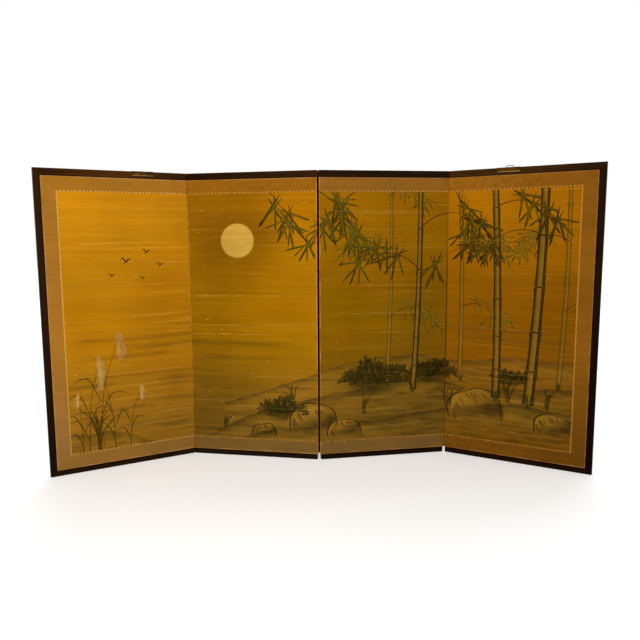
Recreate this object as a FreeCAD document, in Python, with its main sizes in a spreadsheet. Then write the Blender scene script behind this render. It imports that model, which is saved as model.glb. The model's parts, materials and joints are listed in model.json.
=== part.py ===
"""A four-panel byobu folding screen, standing in its zigzag, in millimetres.

Each panel is a paper-covered lattice core with a silk picture, a brocade border, a narrow edging and
lacquered frame rails. Cloth hinges join the panels, and two sheet-brass hangers with wire rings ride on the
top rails.

Every panel is drawn flat in its own frame: +X from its left edge to its right edge, Y = 0 on the front of
its rails with +Y towards the back, and Z = 0 on the floor. A plan of the folds then sets the four panels in
place, with +X to the right of the screen, the front facing -Y, and the origin under the middle of the whole.
"""

import FreeCAD, Part
import math
import os
import re
from collections import namedtuple

import Sketcher

# name, value and meaning: lengths in millimetres, angles in degrees, and counts
SIZES = (
    ("screen_height", 914, "floor to the top of the rails"),
    ("outer_panel_width", 450, "panels 1 and 4, with their outer stile"),
    ("inner_panel_width", 416, "panels 2 and 3"),
    ("outer_heading", 29, "turn of panels 1 and 4 from the line of the screen"),
    ("inner_heading", 10, "turn of panels 2 and 3 from the line of the screen"),
    ("fold_gap", 1.2, "between two panels when they stand in one line"),
    ("fold_standoff", 1.0, "fold axis out from the face of the rails"),
    ("rail_depth", 18, "rails and stiles, front to back"),
    ("rail_proud", 1.0, "rails over the silk, and over the back paper"),
    ("rail_softening", 1.3, "rounding of the long edges"),
    ("top_rail_face", 21.5, "height of the top rails"),
    ("bottom_rail_face", 17.5, "height of the bottom rails"),
    ("stile_face", 19.5, "width of the outer stiles"),
    ("foot_setback", 3.2, "end of a bottom rail back from a fold whose foot stands open"),
    ("facing_thick", 0.5, "silk and brocade"),
    ("lining_thick", 0.6, "layers of lining paper behind the silk"),
    ("back_paper_thick", 0.6, "layers of paper on the back"),
    ("border_width", 40, "brocade border, rail to edging"),
    ("edging_width", 3.5, "narrow strip between border and picture"),
    ("edging_relief", 0.4, "edging over the silk"),
    ("core_bar", 15, "bars round the core, across their face"),
    ("lattice_bar", 9, "bars of the lattice, across their face"),
    ("lattice_columns", 3, "cells of the lattice across a panel"),
    ("lattice_rows", 7, "cells of the lattice up a panel"),
    ("nail_radius", 1.0, "frame nails"),
    ("nail_head_radius", 2.2, "frame nails, flush head"),
    ("nail_head_thick", 0.8, "frame nails, flush head"),
    ("nail_bite", 10, "nail length inside the core"),
    ("nail_end_distance", 60, "first and last nail to the end of the core"),
    ("rail_nails", 3, "nails in each rail"),
    ("stile_nails", 5, "nails in each outer stile"),
    ("leaf_thick", 0.4, "hinge cloth on the edge of a panel"),
    ("web_thick", 0.5, "hinge cloth between leaf and crease"),
    ("crease_radius", 0.6, "rolled crease of the hinge cloth"),
    ("crease_clearance", 0.6, "between two creases, end to end"),
    ("crease_count", 6, "creases up a fold, left and right panel in turn"),
    ("cloth_end_clearance", 1.0, "hinge cloth to the top, the floor or the rail that it ends at"),
    ("hanger_width", 67, "hanger along the rail"),
    ("hanger_sheet", 0.7, "sheet brass"),
    ("hanger_clearance", 0.1, "hanger to rail"),
    ("hanger_lip", 13, "height of the front lip"),
    ("hanger_back", 22, "height of the back plate"),
    ("hanger_flare", 0.5, "turned-out lower edge of the lip"),
    ("hanger_flare_height", 1.6, "turned-out lower edge of the lip"),
    ("hanger_bend_radius", 1.0, "outside of the two bends"),
    ("hanger_1_from_fold", 136.5, "fold a to the middle of the hanger on panel 1"),
    ("hanger_4_from_fold", 180.5, "fold c to the middle of the hanger on panel 4"),
    ("ring_wire_radius", 1.0, "wire of the hanging ring"),
    ("ring_straight", 11, "straight length of the ring"),
    ("ring_bend_radius", 6, "bends of the ring, to the middle of the wire"),
    ("ring_drop", 5, "ring pivot below the top of the rail"),
    ("ring_clearance", 0.1, "wire to knuckle"),
    ("knuckle_wall", 0.6, "rolled tongue round the wire"),
    ("knuckle_length", 8, "rolled tongue along the wire"),
    ("knuckle_root", 0.2, "rolled tongue let into the back plate"),
)

Panel = namedtuple("Panel", "name width outer_side")
PANELS = (
    Panel("panel_1", "outer_panel_width", "left"),
    Panel("panel_2", "inner_panel_width", ""),
    Panel("panel_3", "inner_panel_width", ""),
    Panel("panel_4", "outer_panel_width", "right"),
)

# the fold on the right of each of the first three panels, and the side of the panels that its axis lies on;
# where the foot stands open, the bottom rails end short of the fold and its cloth stops above them
Fold = namedtuple("Fold", "name left_panel right_panel side foot_is_open")
FOLDS = (
    Fold("fold_a", PANELS[0], PANELS[1], "front", foot_is_open=False),
    Fold("fold_b", PANELS[1], PANELS[2], "back", foot_is_open=True),
    Fold("fold_c", PANELS[2], PANELS[3], "front", foot_is_open=True),
)

FACING_FRONT = "rail_proud"
LINING_FRONT = "(rail_proud + facing_thick)"
CORE_FRONT = "(rail_proud + facing_thick + lining_thick)"
CORE_BACK = "(rail_depth - rail_proud - back_paper_thick)"
CORE_DEPTH = f"({CORE_BACK} - {CORE_FRONT})"
CORE_BOTTOM = "bottom_rail_face"
CORE_TOP = "(screen_height - top_rail_face)"
CORE_HEIGHT = f"({CORE_TOP} - {CORE_BOTTOM})"
PICTURE_INSET = "(border_width + edging_width)"
MIDDLE_DEPTH = "(rail_depth / 2)"

RING_AXIS_DEPTH = (
    "(rail_depth + hanger_clearance + hanger_sheet"
    " + ring_wire_radius + ring_clearance + knuckle_wall - knuckle_root)"
)
RING_AXIS_HEIGHT = "(screen_height - ring_drop)"

doc = FreeCAD.newDocument("folding_screen")
sub_parts = []


def fill_sheet():
    """The driving dimensions, one row each."""
    sheet = doc.addObject("Spreadsheet::Sheet", "sizes")
    for row, (alias, number, meaning) in enumerate(SIZES, start=1):
        sheet.set(f"A{row}", meaning)
        sheet.set(f"B{row}", str(number))
        sheet.setAlias(f"B{row}", alias)
    doc.recompute()
    return sheet


sizes = fill_sheet()


def formula(text):
    """A sum in the sheet's own words, written as the document's expressions want it."""
    return re.sub(r"[a-z]\w*", lambda word: f"sizes.{word.group()}", text)


def measure(text):
    """The number that a formula gives with the sheet as it stands."""
    return float(sizes.evalExpression(formula(text)))


def count(text):
    return round(measure(text))


def bind(item, **properties):
    """Ties properties of a document object to formulas: Length="rail_depth"."""
    for name, text in properties.items():
        item.setExpression(name, formula(text))
    return item


def move(item, corner):
    """Ties the place of a document object to three formulas."""
    for axis, text in zip("xyz", corner):
        item.setExpression(f"Placement.Base.{axis}", formula(text))
    return item


def box(name, corner, size):
    length, width, height = size
    item = doc.addObject("Part::Box", name)
    bind(item, Length=length, Width=width, Height=height)
    return move(item, corner)


DIRECTIONS = {
    "up": FreeCAD.Rotation(),
    "down": FreeCAD.Rotation(FreeCAD.Vector(1, 0, 0), 180),
    "right": FreeCAD.Rotation(FreeCAD.Vector(0, 1, 0), 90),
    "left": FreeCAD.Rotation(FreeCAD.Vector(0, 1, 0), -90),
}


def rod(name, start, direction, radius, length):
    item = doc.addObject("Part::Cylinder", name)
    bind(item, Radius=radius, Height=length)
    item.Placement = FreeCAD.Placement(FreeCAD.Vector(), DIRECTIONS[direction])
    return move(item, start)


def group(name, items):
    item = doc.addObject("Part::Compound", name)
    item.Links = items
    return item


def fuse(name, items):
    item = doc.addObject("Part::MultiFuse", name)
    item.Shapes = items
    return item


def cut(name, base, tool):
    item = doc.addObject("Part::Cut", name)
    item.Base = base
    item.Tool = tool
    return item


def sub_part(name, panel, items):
    """A finished piece, or a set of like pieces, under the name of its file, which its panel carries."""
    item = group(name, items)
    item.Label = name
    sub_parts.append((item, panel))


def origin_plane(body, role):
    return next(f for f in body.Origin.OriginFeatures if f.Role == role)


def pin_down(sketch, line, direction, text):
    """Fixes where a line of a sketch starts, along X or Y, by a formula."""
    if text == "0":
        crossing_axis = {"X": -2, "Y": -1}[direction]
        sketch.addConstraint(Sketcher.Constraint("PointOnObject", line, 1, crossing_axis))
        return
    kind = f"Distance{direction}"
    index = sketch.addConstraint(Sketcher.Constraint(kind, -1, 1, line, 1, measure(text)))
    sketch.setExpression(f"Constraints[{index}]", formula(text))


def padded_outline(name, plane, points, length, is_reversed):
    """A body padded from a closed outline of straight lines, whose corners are pairs of formulas."""
    body = doc.addObject("PartDesign::Body", name)
    sketch = body.newObject("Sketcher::SketchObject", f"{name}_outline")
    sketch.AttachmentSupport = [(origin_plane(body, plane), "")]
    sketch.MapMode = "FlatFace"
    corners = [FreeCAD.Vector(measure(across), measure(up), 0) for across, up in points]
    for start, end in zip(corners, corners[1:] + corners[:1]):
        sketch.addGeometry(Part.LineSegment(start, end))
    for line in range(len(points)):
        following = (line + 1) % len(points)
        sketch.addConstraint(Sketcher.Constraint("Coincident", line, 2, following, 1))
    for line, (across, up) in enumerate(points):
        pin_down(sketch, line, "X", across)
        pin_down(sketch, line, "Y", up)
    pad = body.newObject("PartDesign::Pad", f"{name}_pad")
    pad.Profile = sketch
    pad.Reversed = is_reversed
    bind(pad, Length=length)
    doc.recompute()
    return body, pad


def edges_along(shape, axis, keep=lambda middle: True):
    """The names of the straight edges along an axis whose middle passes the test."""
    names = []
    for number, edge in enumerate(shape.Edges, start=1):
        run = edge.Vertexes[-1].Point - edge.Vertexes[0].Point
        if abs(run.dot(axis)) > 0.999 * run.Length and keep(edge.CenterOfMass):
            names.append(f"Edge{number}")
    return names


def round_edges(body, feature, names, radius):
    fillet = body.newObject("PartDesign::Fillet", f"{feature.Name}_rounding")
    fillet.Base = (feature, names)
    bind(fillet, Radius=radius)
    body.Tip = fillet
    doc.recompute()
    return fillet


def inner_left(panel):
    """Where the core of a panel starts, inside its outer stile if it has one."""
    return "stile_face" if panel.outer_side == "left" else "0"


def inner_right(panel):
    return f"({panel.width} - stile_face)" if panel.outer_side == "right" else panel.width


def picture_left(panel):
    return f"({inner_left(panel)} + {PICTURE_INSET})" if panel.outer_side == "left" else "0"


def picture_right(panel):
    return f"({inner_right(panel)} - {PICTURE_INSET})" if panel.outer_side == "right" else panel.width


def row_places(first, last, total):
    """Formulas for places spread evenly from first to last."""
    return [f"({first} + ({last} - {first}) * {n} / {total - 1})" for n in range(total)]


def nails(name, places, direction):
    """A row of flush-headed nails, which also cuts its own holes in what it passes through."""
    face = {"down": "top_rail_face", "up": "bottom_rail_face"}.get(direction, "stile_face")
    rods = []
    for number, place in enumerate(places, start=1):
        rods.append(rod(f"{name}_{number}_shank", place, direction, "nail_radius", f"{face} + nail_bite"))
        rods.append(rod(f"{name}_{number}_head", place, direction, "nail_head_radius", "nail_head_thick"))
    return fuse(name, rods)


def panel_nails(panel):
    """The nails of a panel's frame by the piece that they hold: top, bottom and, on an outer panel, side."""
    first = f"({inner_left(panel)} + nail_end_distance)"
    last = f"({inner_right(panel)} - nail_end_distance)"
    across = row_places(first, last, count("rail_nails"))
    on_top = [(x, MIDDLE_DEPTH, "screen_height") for x in across]
    underneath = [(x, MIDDLE_DEPTH, "0") for x in across]
    rows = {
        "top": nails(f"{panel.name}_top_nails", on_top, "down"),
        "bottom": nails(f"{panel.name}_bottom_nails", underneath, "up"),
    }
    if panel.outer_side:
        low = f"({CORE_BOTTOM} + nail_end_distance)"
        high = f"({CORE_TOP} - nail_end_distance)"
        up = row_places(low, high, count("stile_nails"))
        edge = "0" if panel.outer_side == "left" else panel.width
        inwards = "right" if panel.outer_side == "left" else "left"
        rows["side"] = nails(f"{panel.name}_side_nails", [(edge, MIDDLE_DEPTH, z) for z in up], inwards)
    sub_part(f"{panel.name}_frame_nails", panel, list(rows.values()))
    return rows


def core_frame(panel, nail_rows):
    """Four bars round the core: the uprights run full height, and the rails lie between them."""
    left, right = inner_left(panel), inner_right(panel)
    name = panel.name
    upright = ("core_bar", CORE_DEPTH, CORE_HEIGHT)
    level = (f"{right} - {left} - 2 * core_bar", CORE_DEPTH, "core_bar")
    between = f"{left} + core_bar"
    bars = {
        "left": box(f"{name}_core_left", (left, CORE_FRONT, CORE_BOTTOM), upright),
        "right": box(f"{name}_core_right", (f"{right} - core_bar", CORE_FRONT, CORE_BOTTOM), upright),
        "bottom": box(f"{name}_core_bottom", (between, CORE_FRONT, CORE_BOTTOM), level),
        "top": box(f"{name}_core_top", (between, CORE_FRONT, f"{CORE_TOP} - core_bar"), level),
    }
    for place, row in nail_rows.items():
        bar = panel.outer_side if place == "side" else place
        bars[bar] = cut(f"{name}_core_{bar}_drilled", bars[bar], row)
    sub_part(f"{name}_core_frame", panel, list(bars.values()))


def core_lattice(panel):
    """Thin bars inside the core, halved into each other where they cross."""
    name = panel.name
    columns, rows = count("lattice_columns"), count("lattice_rows")
    left, right = f"({inner_left(panel)} + core_bar)", f"({inner_right(panel)} - core_bar)"
    low, high = f"({CORE_BOTTOM} + core_bar)", f"({CORE_TOP} - core_bar)"
    half_depth = f"{CORE_DEPTH} / 2"

    def upright_box(part_name, n, depth):
        x = f"{left} + ({right} - {left} + lattice_bar) * {n} / lattice_columns - lattice_bar"
        size = ("lattice_bar", depth, f"{high} - {low}")
        return box(f"{name}_{part_name}_{n}", (x, CORE_FRONT, low), size)

    def crossbar_box(part_name, n, front, depth):
        z = f"{low} + ({high} - {low} + lattice_bar) * {n} / lattice_rows - lattice_bar"
        return box(f"{name}_{part_name}_{n}", (left, front, z), (f"{right} - {left}", depth, "lattice_bar"))

    uprights = [upright_box("upright", n, CORE_DEPTH) for n in range(1, columns)]
    upright_fronts = [upright_box("upright_front", n, half_depth) for n in range(1, columns)]
    crossbars = [crossbar_box("crossbar", n, CORE_FRONT, CORE_DEPTH) for n in range(1, rows)]
    middle = f"{CORE_FRONT} + {half_depth}"
    crossbar_backs = [crossbar_box("crossbar_back", n, middle, half_depth) for n in range(1, rows)]
    uprights, crossbars = group(f"{name}_uprights", uprights), group(f"{name}_crossbars", crossbars)
    back_laps = group(f"{name}_back_laps", crossbar_backs)
    front_laps = group(f"{name}_front_laps", upright_fronts)
    lattice = [
        cut(f"{name}_uprights_halved", uprights, back_laps),
        cut(f"{name}_crossbars_halved", crossbars, front_laps),
    ]
    sub_part(f"{name}_core_lattice", panel, lattice)


def papers(panel):
    """Lining paper behind the silk, and the paper on the back, over the whole core."""
    name = panel.name
    left = inner_left(panel)
    width = f"{inner_right(panel)} - {left}"
    lining = box(f"{name}_lining", (left, LINING_FRONT, CORE_BOTTOM), (width, "lining_thick", CORE_HEIGHT))
    back = box(f"{name}_back", (left, CORE_BACK, CORE_BOTTOM), (width, "back_paper_thick", CORE_HEIGHT))
    sub_part(f"{name}_front_lining_paper", panel, [lining])
    sub_part(f"{name}_back_paper", panel, [back])


def silk_picture(panel):
    left = picture_left(panel)
    silk = box(
        f"{panel.name}_silk",
        (left, FACING_FRONT, f"{CORE_BOTTOM} + {PICTURE_INSET}"),
        (f"{picture_right(panel)} - {left}", "facing_thick", f"{CORE_HEIGHT} - 2 * {PICTURE_INSET}"),
    )
    sub_part(f"{panel.name}_silk_picture", panel, [silk])


def borders(panel):
    """Brocade strips along the rails, and down the outer side between the other two."""
    name = panel.name
    left = inner_left(panel)
    strip = (f"{inner_right(panel)} - {left}", "facing_thick", "border_width")
    top = box(f"{name}_border_top", (left, FACING_FRONT, f"{CORE_TOP} - border_width"), strip)
    bottom = box(f"{name}_border_bottom", (left, FACING_FRONT, CORE_BOTTOM), strip)
    sub_part(f"{name}_top_border", panel, [top])
    sub_part(f"{name}_bottom_border", panel, [bottom])
    if panel.outer_side:
        start = left if panel.outer_side == "left" else f"{inner_right(panel)} - border_width"
        side = box(
            f"{name}_border_side",
            (start, FACING_FRONT, f"{CORE_BOTTOM} + border_width"),
            ("border_width", "facing_thick", f"{CORE_HEIGHT} - 2 * border_width"),
        )
        sub_part(f"{name}_side_border", panel, [side])


def edging(panel):
    """The narrow strips between border and picture: the upright one runs between the other two."""
    name = panel.name
    front = "(rail_proud - edging_relief)"
    thick = "(facing_thick + edging_relief)"
    inset_left = " + border_width" if panel.outer_side == "left" else ""
    inset_right = " - border_width" if panel.outer_side == "right" else ""
    left = f"({inner_left(panel)}{inset_left})"
    right = f"({inner_right(panel)}{inset_right})"
    low = f"({CORE_BOTTOM} + border_width)"
    high = f"({CORE_TOP} - {PICTURE_INSET})"
    strips = [
        box(f"{name}_edging_{place}", (left, front, z), (f"{right} - {left}", thick, "edging_width"))
        for place, z in (("bottom", low), ("top", high))
    ]
    if panel.outer_side:
        start = left if panel.outer_side == "left" else f"{right} - edging_width"
        strips.append(
            box(
                f"{name}_edging_side",
                (start, front, f"{low} + edging_width"),
                ("edging_width", thick, f"{high} - {low} - edging_width"),
            )
        )
    sub_part(f"{name}_edging_strips", panel, strips)


def frame_bar(name, points, axis, nail_row):
    """A rail or stile: its outline from the front, padded back, with its long edges softened, and nailed."""
    body, pad = padded_outline(name, "XZ_Plane", points, "rail_depth", is_reversed=True)
    round_edges(body, pad, edges_along(pad.Shape, axis), "rail_softening")
    return cut(f"{name}_drilled", body, nail_row)


def frame_bars(panel, nail_rows):
    """Top and bottom rails, mitred on the outer side to a stile."""
    along = FreeCAD.Vector(1, 0, 0)
    upwards = FreeCAD.Vector(0, 0, 1)
    name = panel.name
    rail_foot = "(screen_height - top_rail_face)"
    is_open_left = any(fold.foot_is_open and panel is fold.right_panel for fold in FOLDS)
    is_open_right = any(fold.foot_is_open and panel is fold.left_panel for fold in FOLDS)

    def ends(setback_left, setback_right):
        """The outer and the inner X of both ends: apart on a mitre, the same on a square end."""
        left = ("0", "stile_face") if panel.outer_side == "left" else (setback_left, setback_left)
        fold_end = f"{panel.width} - {setback_right}"
        mitre = (panel.width, f"{panel.width} - stile_face")
        return left, mitre if panel.outer_side == "right" else (fold_end, fold_end)

    left, right = ends("0", "0")
    top = (
        (left[0], "screen_height"),
        (left[1], rail_foot),
        (right[1], rail_foot),
        (right[0], "screen_height"),
    )
    top_rail = frame_bar(f"{name}_rail_top", top, along, nail_rows["top"])
    sub_part(f"{name}_top_rail", panel, [top_rail])
    left, right = ends("foot_setback" if is_open_left else "0", "foot_setback" if is_open_right else "0")
    bottom = ((left[0], "0"), (right[0], "0"), (right[1], "bottom_rail_face"), (left[1], "bottom_rail_face"))
    bottom_rail = frame_bar(f"{name}_rail_bottom", bottom, along, nail_rows["bottom"])
    sub_part(f"{name}_bottom_rail", panel, [bottom_rail])
    if panel.outer_side:
        outer, inner = left if panel.outer_side == "left" else right
        side = ((outer, "0"), (inner, "bottom_rail_face"), (inner, rail_foot), (outer, "screen_height"))
        stile = frame_bar(f"{name}_stile", side, upwards, nail_rows["side"])
        sub_part(f"{name}_outer_stile", panel, [stile])


def hinge_cloth(fold, panel, turn):
    """The cloth on one panel's edge at a fold: a leaf up the edge, and every other rolled crease."""
    is_left_panel = panel is fold.left_panel
    name = f"{fold.name}_{'left' if is_left_panel else 'right'}"
    low = f"({CORE_BOTTOM} + cloth_end_clearance)" if fold.foot_is_open else "cloth_end_clearance"
    high = "(screen_height - cloth_end_clearance)"
    if is_left_panel:
        leaf_x, web_x, crease_x = panel.width, panel.width, f"{panel.width} + fold_gap / 2"
    else:
        leaf_x, web_x, crease_x = "0 - leaf_thick", "0 - web_thick", "0 - fold_gap / 2"
    axis_depth = fold_axis_depth(fold)
    web_front = axis_depth if fold.side == "front" else "(rail_depth - rail_proud)"
    web_depth = "fold_standoff + rail_proud"
    panel_depth = "rail_depth - 2 * rail_proud"
    leaf = box(f"{name}_leaf", (leaf_x, "rail_proud", low), ("leaf_thick", panel_depth, f"{high} - {low}"))
    pieces = [leaf]
    total = count("crease_count")
    length = f"(({high} - {low} + crease_clearance) / {total} - crease_clearance)"
    for n in range(turn, total, 2):
        foot = f"{low} + ({length} + crease_clearance) * {n}"
        pieces.append(box(f"{name}_web_{n}", (web_x, web_front, foot), ("web_thick", web_depth, length)))
        pieces.append(rod(f"{name}_crease_{n}", (crease_x, axis_depth, foot), "up", "crease_radius", length))
    sub_part(f"{name}_hinge_cloth", panel, [fuse(f"{name}_cloth", pieces)])


def fold_axis_depth(fold):
    return "(0 - fold_standoff)" if fold.side == "front" else "(rail_depth + fold_standoff)"


def hanger(panel, middle):
    """A hanger bent from sheet brass over the top rail, whose back carries a rolled knuckle for its ring."""
    name = f"{panel.name}_hanger"
    front = "hanger_flare"
    lip_back = "hanger_flare + hanger_sheet"
    back_front = f"{lip_back} + 2 * hanger_clearance + rail_depth"
    back_face = f"{back_front} + hanger_sheet"
    top = "hanger_back + hanger_sheet"
    lip_foot = "hanger_back - hanger_lip"
    flare_top = f"{lip_foot} + hanger_flare_height"
    outline = (
        (front, top),
        (front, flare_top),
        ("0", lip_foot),
        ("hanger_sheet", lip_foot),
        (lip_back, flare_top),
        (lip_back, "hanger_back"),
        (back_front, "hanger_back"),
        (back_front, "0"),
        (back_face, "0"),
        (back_face, top),
    )
    body, pad = padded_outline(f"{name}_strip", "YZ_Plane", outline, "hanger_width", is_reversed=False)
    top_height = measure(top)
    bends = edges_along(
        pad.Shape, FreeCAD.Vector(1, 0, 0), lambda middle_point: math.isclose(middle_point.z, top_height)
    )
    round_edges(body, pad, bends, "hanger_bend_radius")
    move(
        body,
        (
            f"{middle} - hanger_width / 2",
            "0 - hanger_flare - hanger_sheet - hanger_clearance",
            "screen_height + hanger_clearance - hanger_back",
        ),
    )
    start = (f"{middle} - knuckle_length / 2", RING_AXIS_DEPTH, RING_AXIS_HEIGHT)
    outer_radius = "ring_wire_radius + ring_clearance + knuckle_wall"
    knuckle = rod(f"{name}_knuckle", start, "right", outer_radius, "knuckle_length")
    bore = rod(f"{name}_bore", start, "right", "ring_wire_radius + ring_clearance", "knuckle_length")
    with_knuckle = fuse(f"{name}_with_knuckle", [body, knuckle])
    sub_part(name, panel, [cut(f"{name}_bored", with_knuckle, bore)])


def half_torus(name, centre, outwards):
    """The round end of a ring that stands in the plane of the panel, bulging left or right."""
    item = doc.addObject("Part::Torus", name)
    bind(item, Radius1="ring_bend_radius", Radius2="ring_wire_radius")
    item.Angle3 = 180
    down = FreeCAD.Vector(0, 0, -1)
    side = FreeCAD.Vector(outwards, 0, 0)
    turn = FreeCAD.Rotation(down, side, down.cross(side), "XYZ")
    item.Placement = FreeCAD.Placement(FreeCAD.Vector(), turn)
    return move(item, centre)


def hanging_ring(panel, middle, rises):
    """A wire ring with two straight sides, one of them held in the knuckle, hanging down or turned up."""
    name = f"{panel.name}_hanging_ring"
    sign = "+" if rises else "-"
    centre_height = f"{RING_AXIS_HEIGHT} {sign} ring_bend_radius"
    far_height = f"{RING_AXIS_HEIGHT} {sign} 2 * ring_bend_radius"
    start = f"{middle} - ring_straight / 2"
    end = f"{middle} + ring_straight / 2"
    straights = (("pivot", RING_AXIS_HEIGHT), ("far", far_height))
    pieces = [
        rod(f"{name}_{side}", (start, RING_AXIS_DEPTH, height), "right", "ring_wire_radius", "ring_straight")
        for side, height in straights
    ]
    pieces += [
        half_torus(f"{name}_right_bend", (end, RING_AXIS_DEPTH, centre_height), 1),
        half_torus(f"{name}_left_bend", (start, RING_AXIS_DEPTH, centre_height), -1),
    ]
    sub_part(name, panel, [fuse(f"{name}_wire", pieces)])


def plan():
    """Where each panel stands: its placement, and the place of each fold's axis, from the first panel on."""
    outer, inner = measure("outer_heading"), measure("inner_heading")
    headings = dict(zip((panel.name for panel in PANELS), (outer, -inner, inner, -outer)))
    turns = {name: FreeCAD.Rotation(FreeCAD.Vector(0, 0, 1), angle) for name, angle in headings.items()}
    half_gap = measure("fold_gap / 2")
    base = FreeCAD.Vector()
    placements = {PANELS[0].name: FreeCAD.Placement(base, turns[PANELS[0].name])}
    axes = {}
    for fold in FOLDS:
        depth = measure(fold_axis_depth(fold))
        near_end = FreeCAD.Vector(measure(fold.left_panel.width) + half_gap, depth, 0)
        axis = placements[fold.left_panel.name].multVec(near_end)
        turn = turns[fold.right_panel.name]
        base = axis - turn.multVec(FreeCAD.Vector(-half_gap, depth, 0))
        placements[fold.right_panel.name] = FreeCAD.Placement(base, turn)
        axes[fold.name] = axis
    return placements, axes


def build_panel(panel):
    nail_rows = panel_nails(panel)
    core_frame(panel, nail_rows)
    core_lattice(panel)
    papers(panel)
    silk_picture(panel)
    borders(panel)
    edging(panel)
    frame_bars(panel, nail_rows)


def set_in_place():
    """Stands the panels in their zigzag, with the origin on the floor under the middle of the screen."""
    placements, axes = plan()
    for item, panel in sub_parts:
        item.Placement = placements[panel.name]
    doc.recompute()
    whole = FreeCAD.BoundBox()
    for item, _ in sub_parts:
        whole.add(item.Shape.optimalBoundingBox(False))
    shift = FreeCAD.Vector(whole.Center.x, whole.Center.y, whole.ZMin)
    for item, _ in sub_parts:
        item.Placement.Base = item.Placement.Base - shift
    doc.recompute()
    for place in placements.values():
        place.Base = place.Base - shift
    return placements, {name: axis - shift for name, axis in axes.items()}


def check_document():
    """Stops if any object failed or any sub-part is empty or unsound."""
    for item in doc.Objects:
        if "Invalid" in item.State or "Error" in item.State:
            raise RuntimeError(f"{item.Name} failed: {item.State}")
    for item, _ in sub_parts:
        if item.Shape.isNull() or not item.Shape.isValid() or not item.Shape.Solids:
            raise RuntimeError(f"{item.Label} has no sound shape")


def report_places(placements, axes, hangers):
    """Prints the joints' places in the screen's own frame."""
    for name, axis in axes.items():
        print(f"{name} axis at {axis.x:.4f}, {axis.y:.4f}")
    for panel, middle in hangers:
        place = placements[panel.name]
        along = place.Rotation.multVec(FreeCAD.Vector(1, 0, 0))
        pivot = place.multVec(
            FreeCAD.Vector(measure(middle), measure(RING_AXIS_DEPTH), measure(RING_AXIS_HEIGHT))
        )
        start = f"{place.Base.x:.4f}, {place.Base.y:.4f}"
        print(f"{panel.name} runs along {along.x:.6f}, {along.y:.6f} from {start}")
        print(f"{panel.name} ring pivot at {pivot.x:.4f}, {pivot.y:.4f}, {pivot.z:.4f}")


def write_steps():
    os.makedirs("parts", exist_ok=True)
    for item, _ in sub_parts:
        item.Shape.exportStep(f"parts/{item.Label}.step")
        print(f"{item.Label}: {len(item.Shape.Solids)} solids, {item.Shape.Volume:.1f} mm3")


for each_panel in PANELS:
    build_panel(each_panel)
for each_fold in FOLDS:
    hinge_cloth(each_fold, each_fold.left_panel, turn=0)
    hinge_cloth(each_fold, each_fold.right_panel, turn=1)
hanger_places = (
    (PANELS[0], "(outer_panel_width - hanger_1_from_fold)"),
    (PANELS[3], "hanger_4_from_fold"),
)
for each_panel, place_along in hanger_places:
    hanger(each_panel, place_along)
    hanging_ring(each_panel, place_along, rises=each_panel is PANELS[3])
panel_placements, fold_axes = set_in_place()
check_document()
report_places(panel_placements, fold_axes, hanger_places)
write_steps()
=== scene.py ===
"""The looks of a four-panel byobu folding screen: silk, brocade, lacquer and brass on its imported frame.

Every panel is dressed in its own frame: x along the panel from its left edge, y back from the front of
its rails, z up from the floor, in metres. The picture is drawn flat, over the whole unfolded screen, on a
drawing board whose x runs along the screen, whose y is the height and whose z stands out of the silk.
Each panel then gets its own part of it.
"""

import json
import math
import random

import bmesh
import bpy
import numpy as np
from mathutils import Matrix, Vector


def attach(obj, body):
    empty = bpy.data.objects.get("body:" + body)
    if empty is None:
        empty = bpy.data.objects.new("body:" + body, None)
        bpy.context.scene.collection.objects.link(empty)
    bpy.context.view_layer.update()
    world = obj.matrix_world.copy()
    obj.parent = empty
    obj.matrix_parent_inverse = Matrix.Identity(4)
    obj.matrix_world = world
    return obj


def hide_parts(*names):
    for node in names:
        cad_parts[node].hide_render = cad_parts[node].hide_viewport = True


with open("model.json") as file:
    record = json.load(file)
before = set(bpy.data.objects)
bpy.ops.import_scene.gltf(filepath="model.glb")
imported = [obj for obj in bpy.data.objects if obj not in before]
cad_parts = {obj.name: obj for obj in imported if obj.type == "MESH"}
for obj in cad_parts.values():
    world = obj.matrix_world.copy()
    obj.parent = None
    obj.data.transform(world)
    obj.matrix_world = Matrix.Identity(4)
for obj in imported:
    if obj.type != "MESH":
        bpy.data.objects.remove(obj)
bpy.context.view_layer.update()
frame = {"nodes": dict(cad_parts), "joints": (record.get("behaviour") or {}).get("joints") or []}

MM = 0.001

CAMERA_PLACE = Vector((-0.0250, -1.9310, 0.7056))
CAMERA_YAW = math.radians(-0.606)
CAMERA_PITCH = math.radians(7.321)
CAMERA_ROLL = math.radians(-0.495)
CAMERA_LENS = 35.453
CAMERA_SENSOR = 36.0
CAMERA_SHIFT = 16 / 640

# name, azimuth, elevation, strength and breadth of each soft sun, with its angles in degrees
SUNS = (("key_sun", -32, 42, 1.5, 50), ("fill_sun", 40, 30, 0.9, 60), ("back_sun", 170, 45, 1.3, 60))
AMBIENT = 0.55
FLOOR_SIZE = 30.0
FLOOR_LEVEL = -0.2 * MM
FLOOR_TONE = (0.45, 0.44, 0.42, 1)
FLOOR_SEEN = (0.97, 0.97, 0.96, 1)


def srgb(red, green, blue):
    """A colour read from a screen, 0 to 255, as the linear colour that a socket holds."""
    channels = [value / 255 for value in (red, green, blue)]
    linear = [c / 12.92 if c <= 0.04045 else ((c + 0.055) / 1.055) ** 2.4 for c in channels]
    return (*linear, 1.0)


def by_panel(*colours):
    """One colour for each of the panels 1 to 4."""
    return {number: srgb(*colour) for number, colour in enumerate(colours, start=1)}


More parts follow.
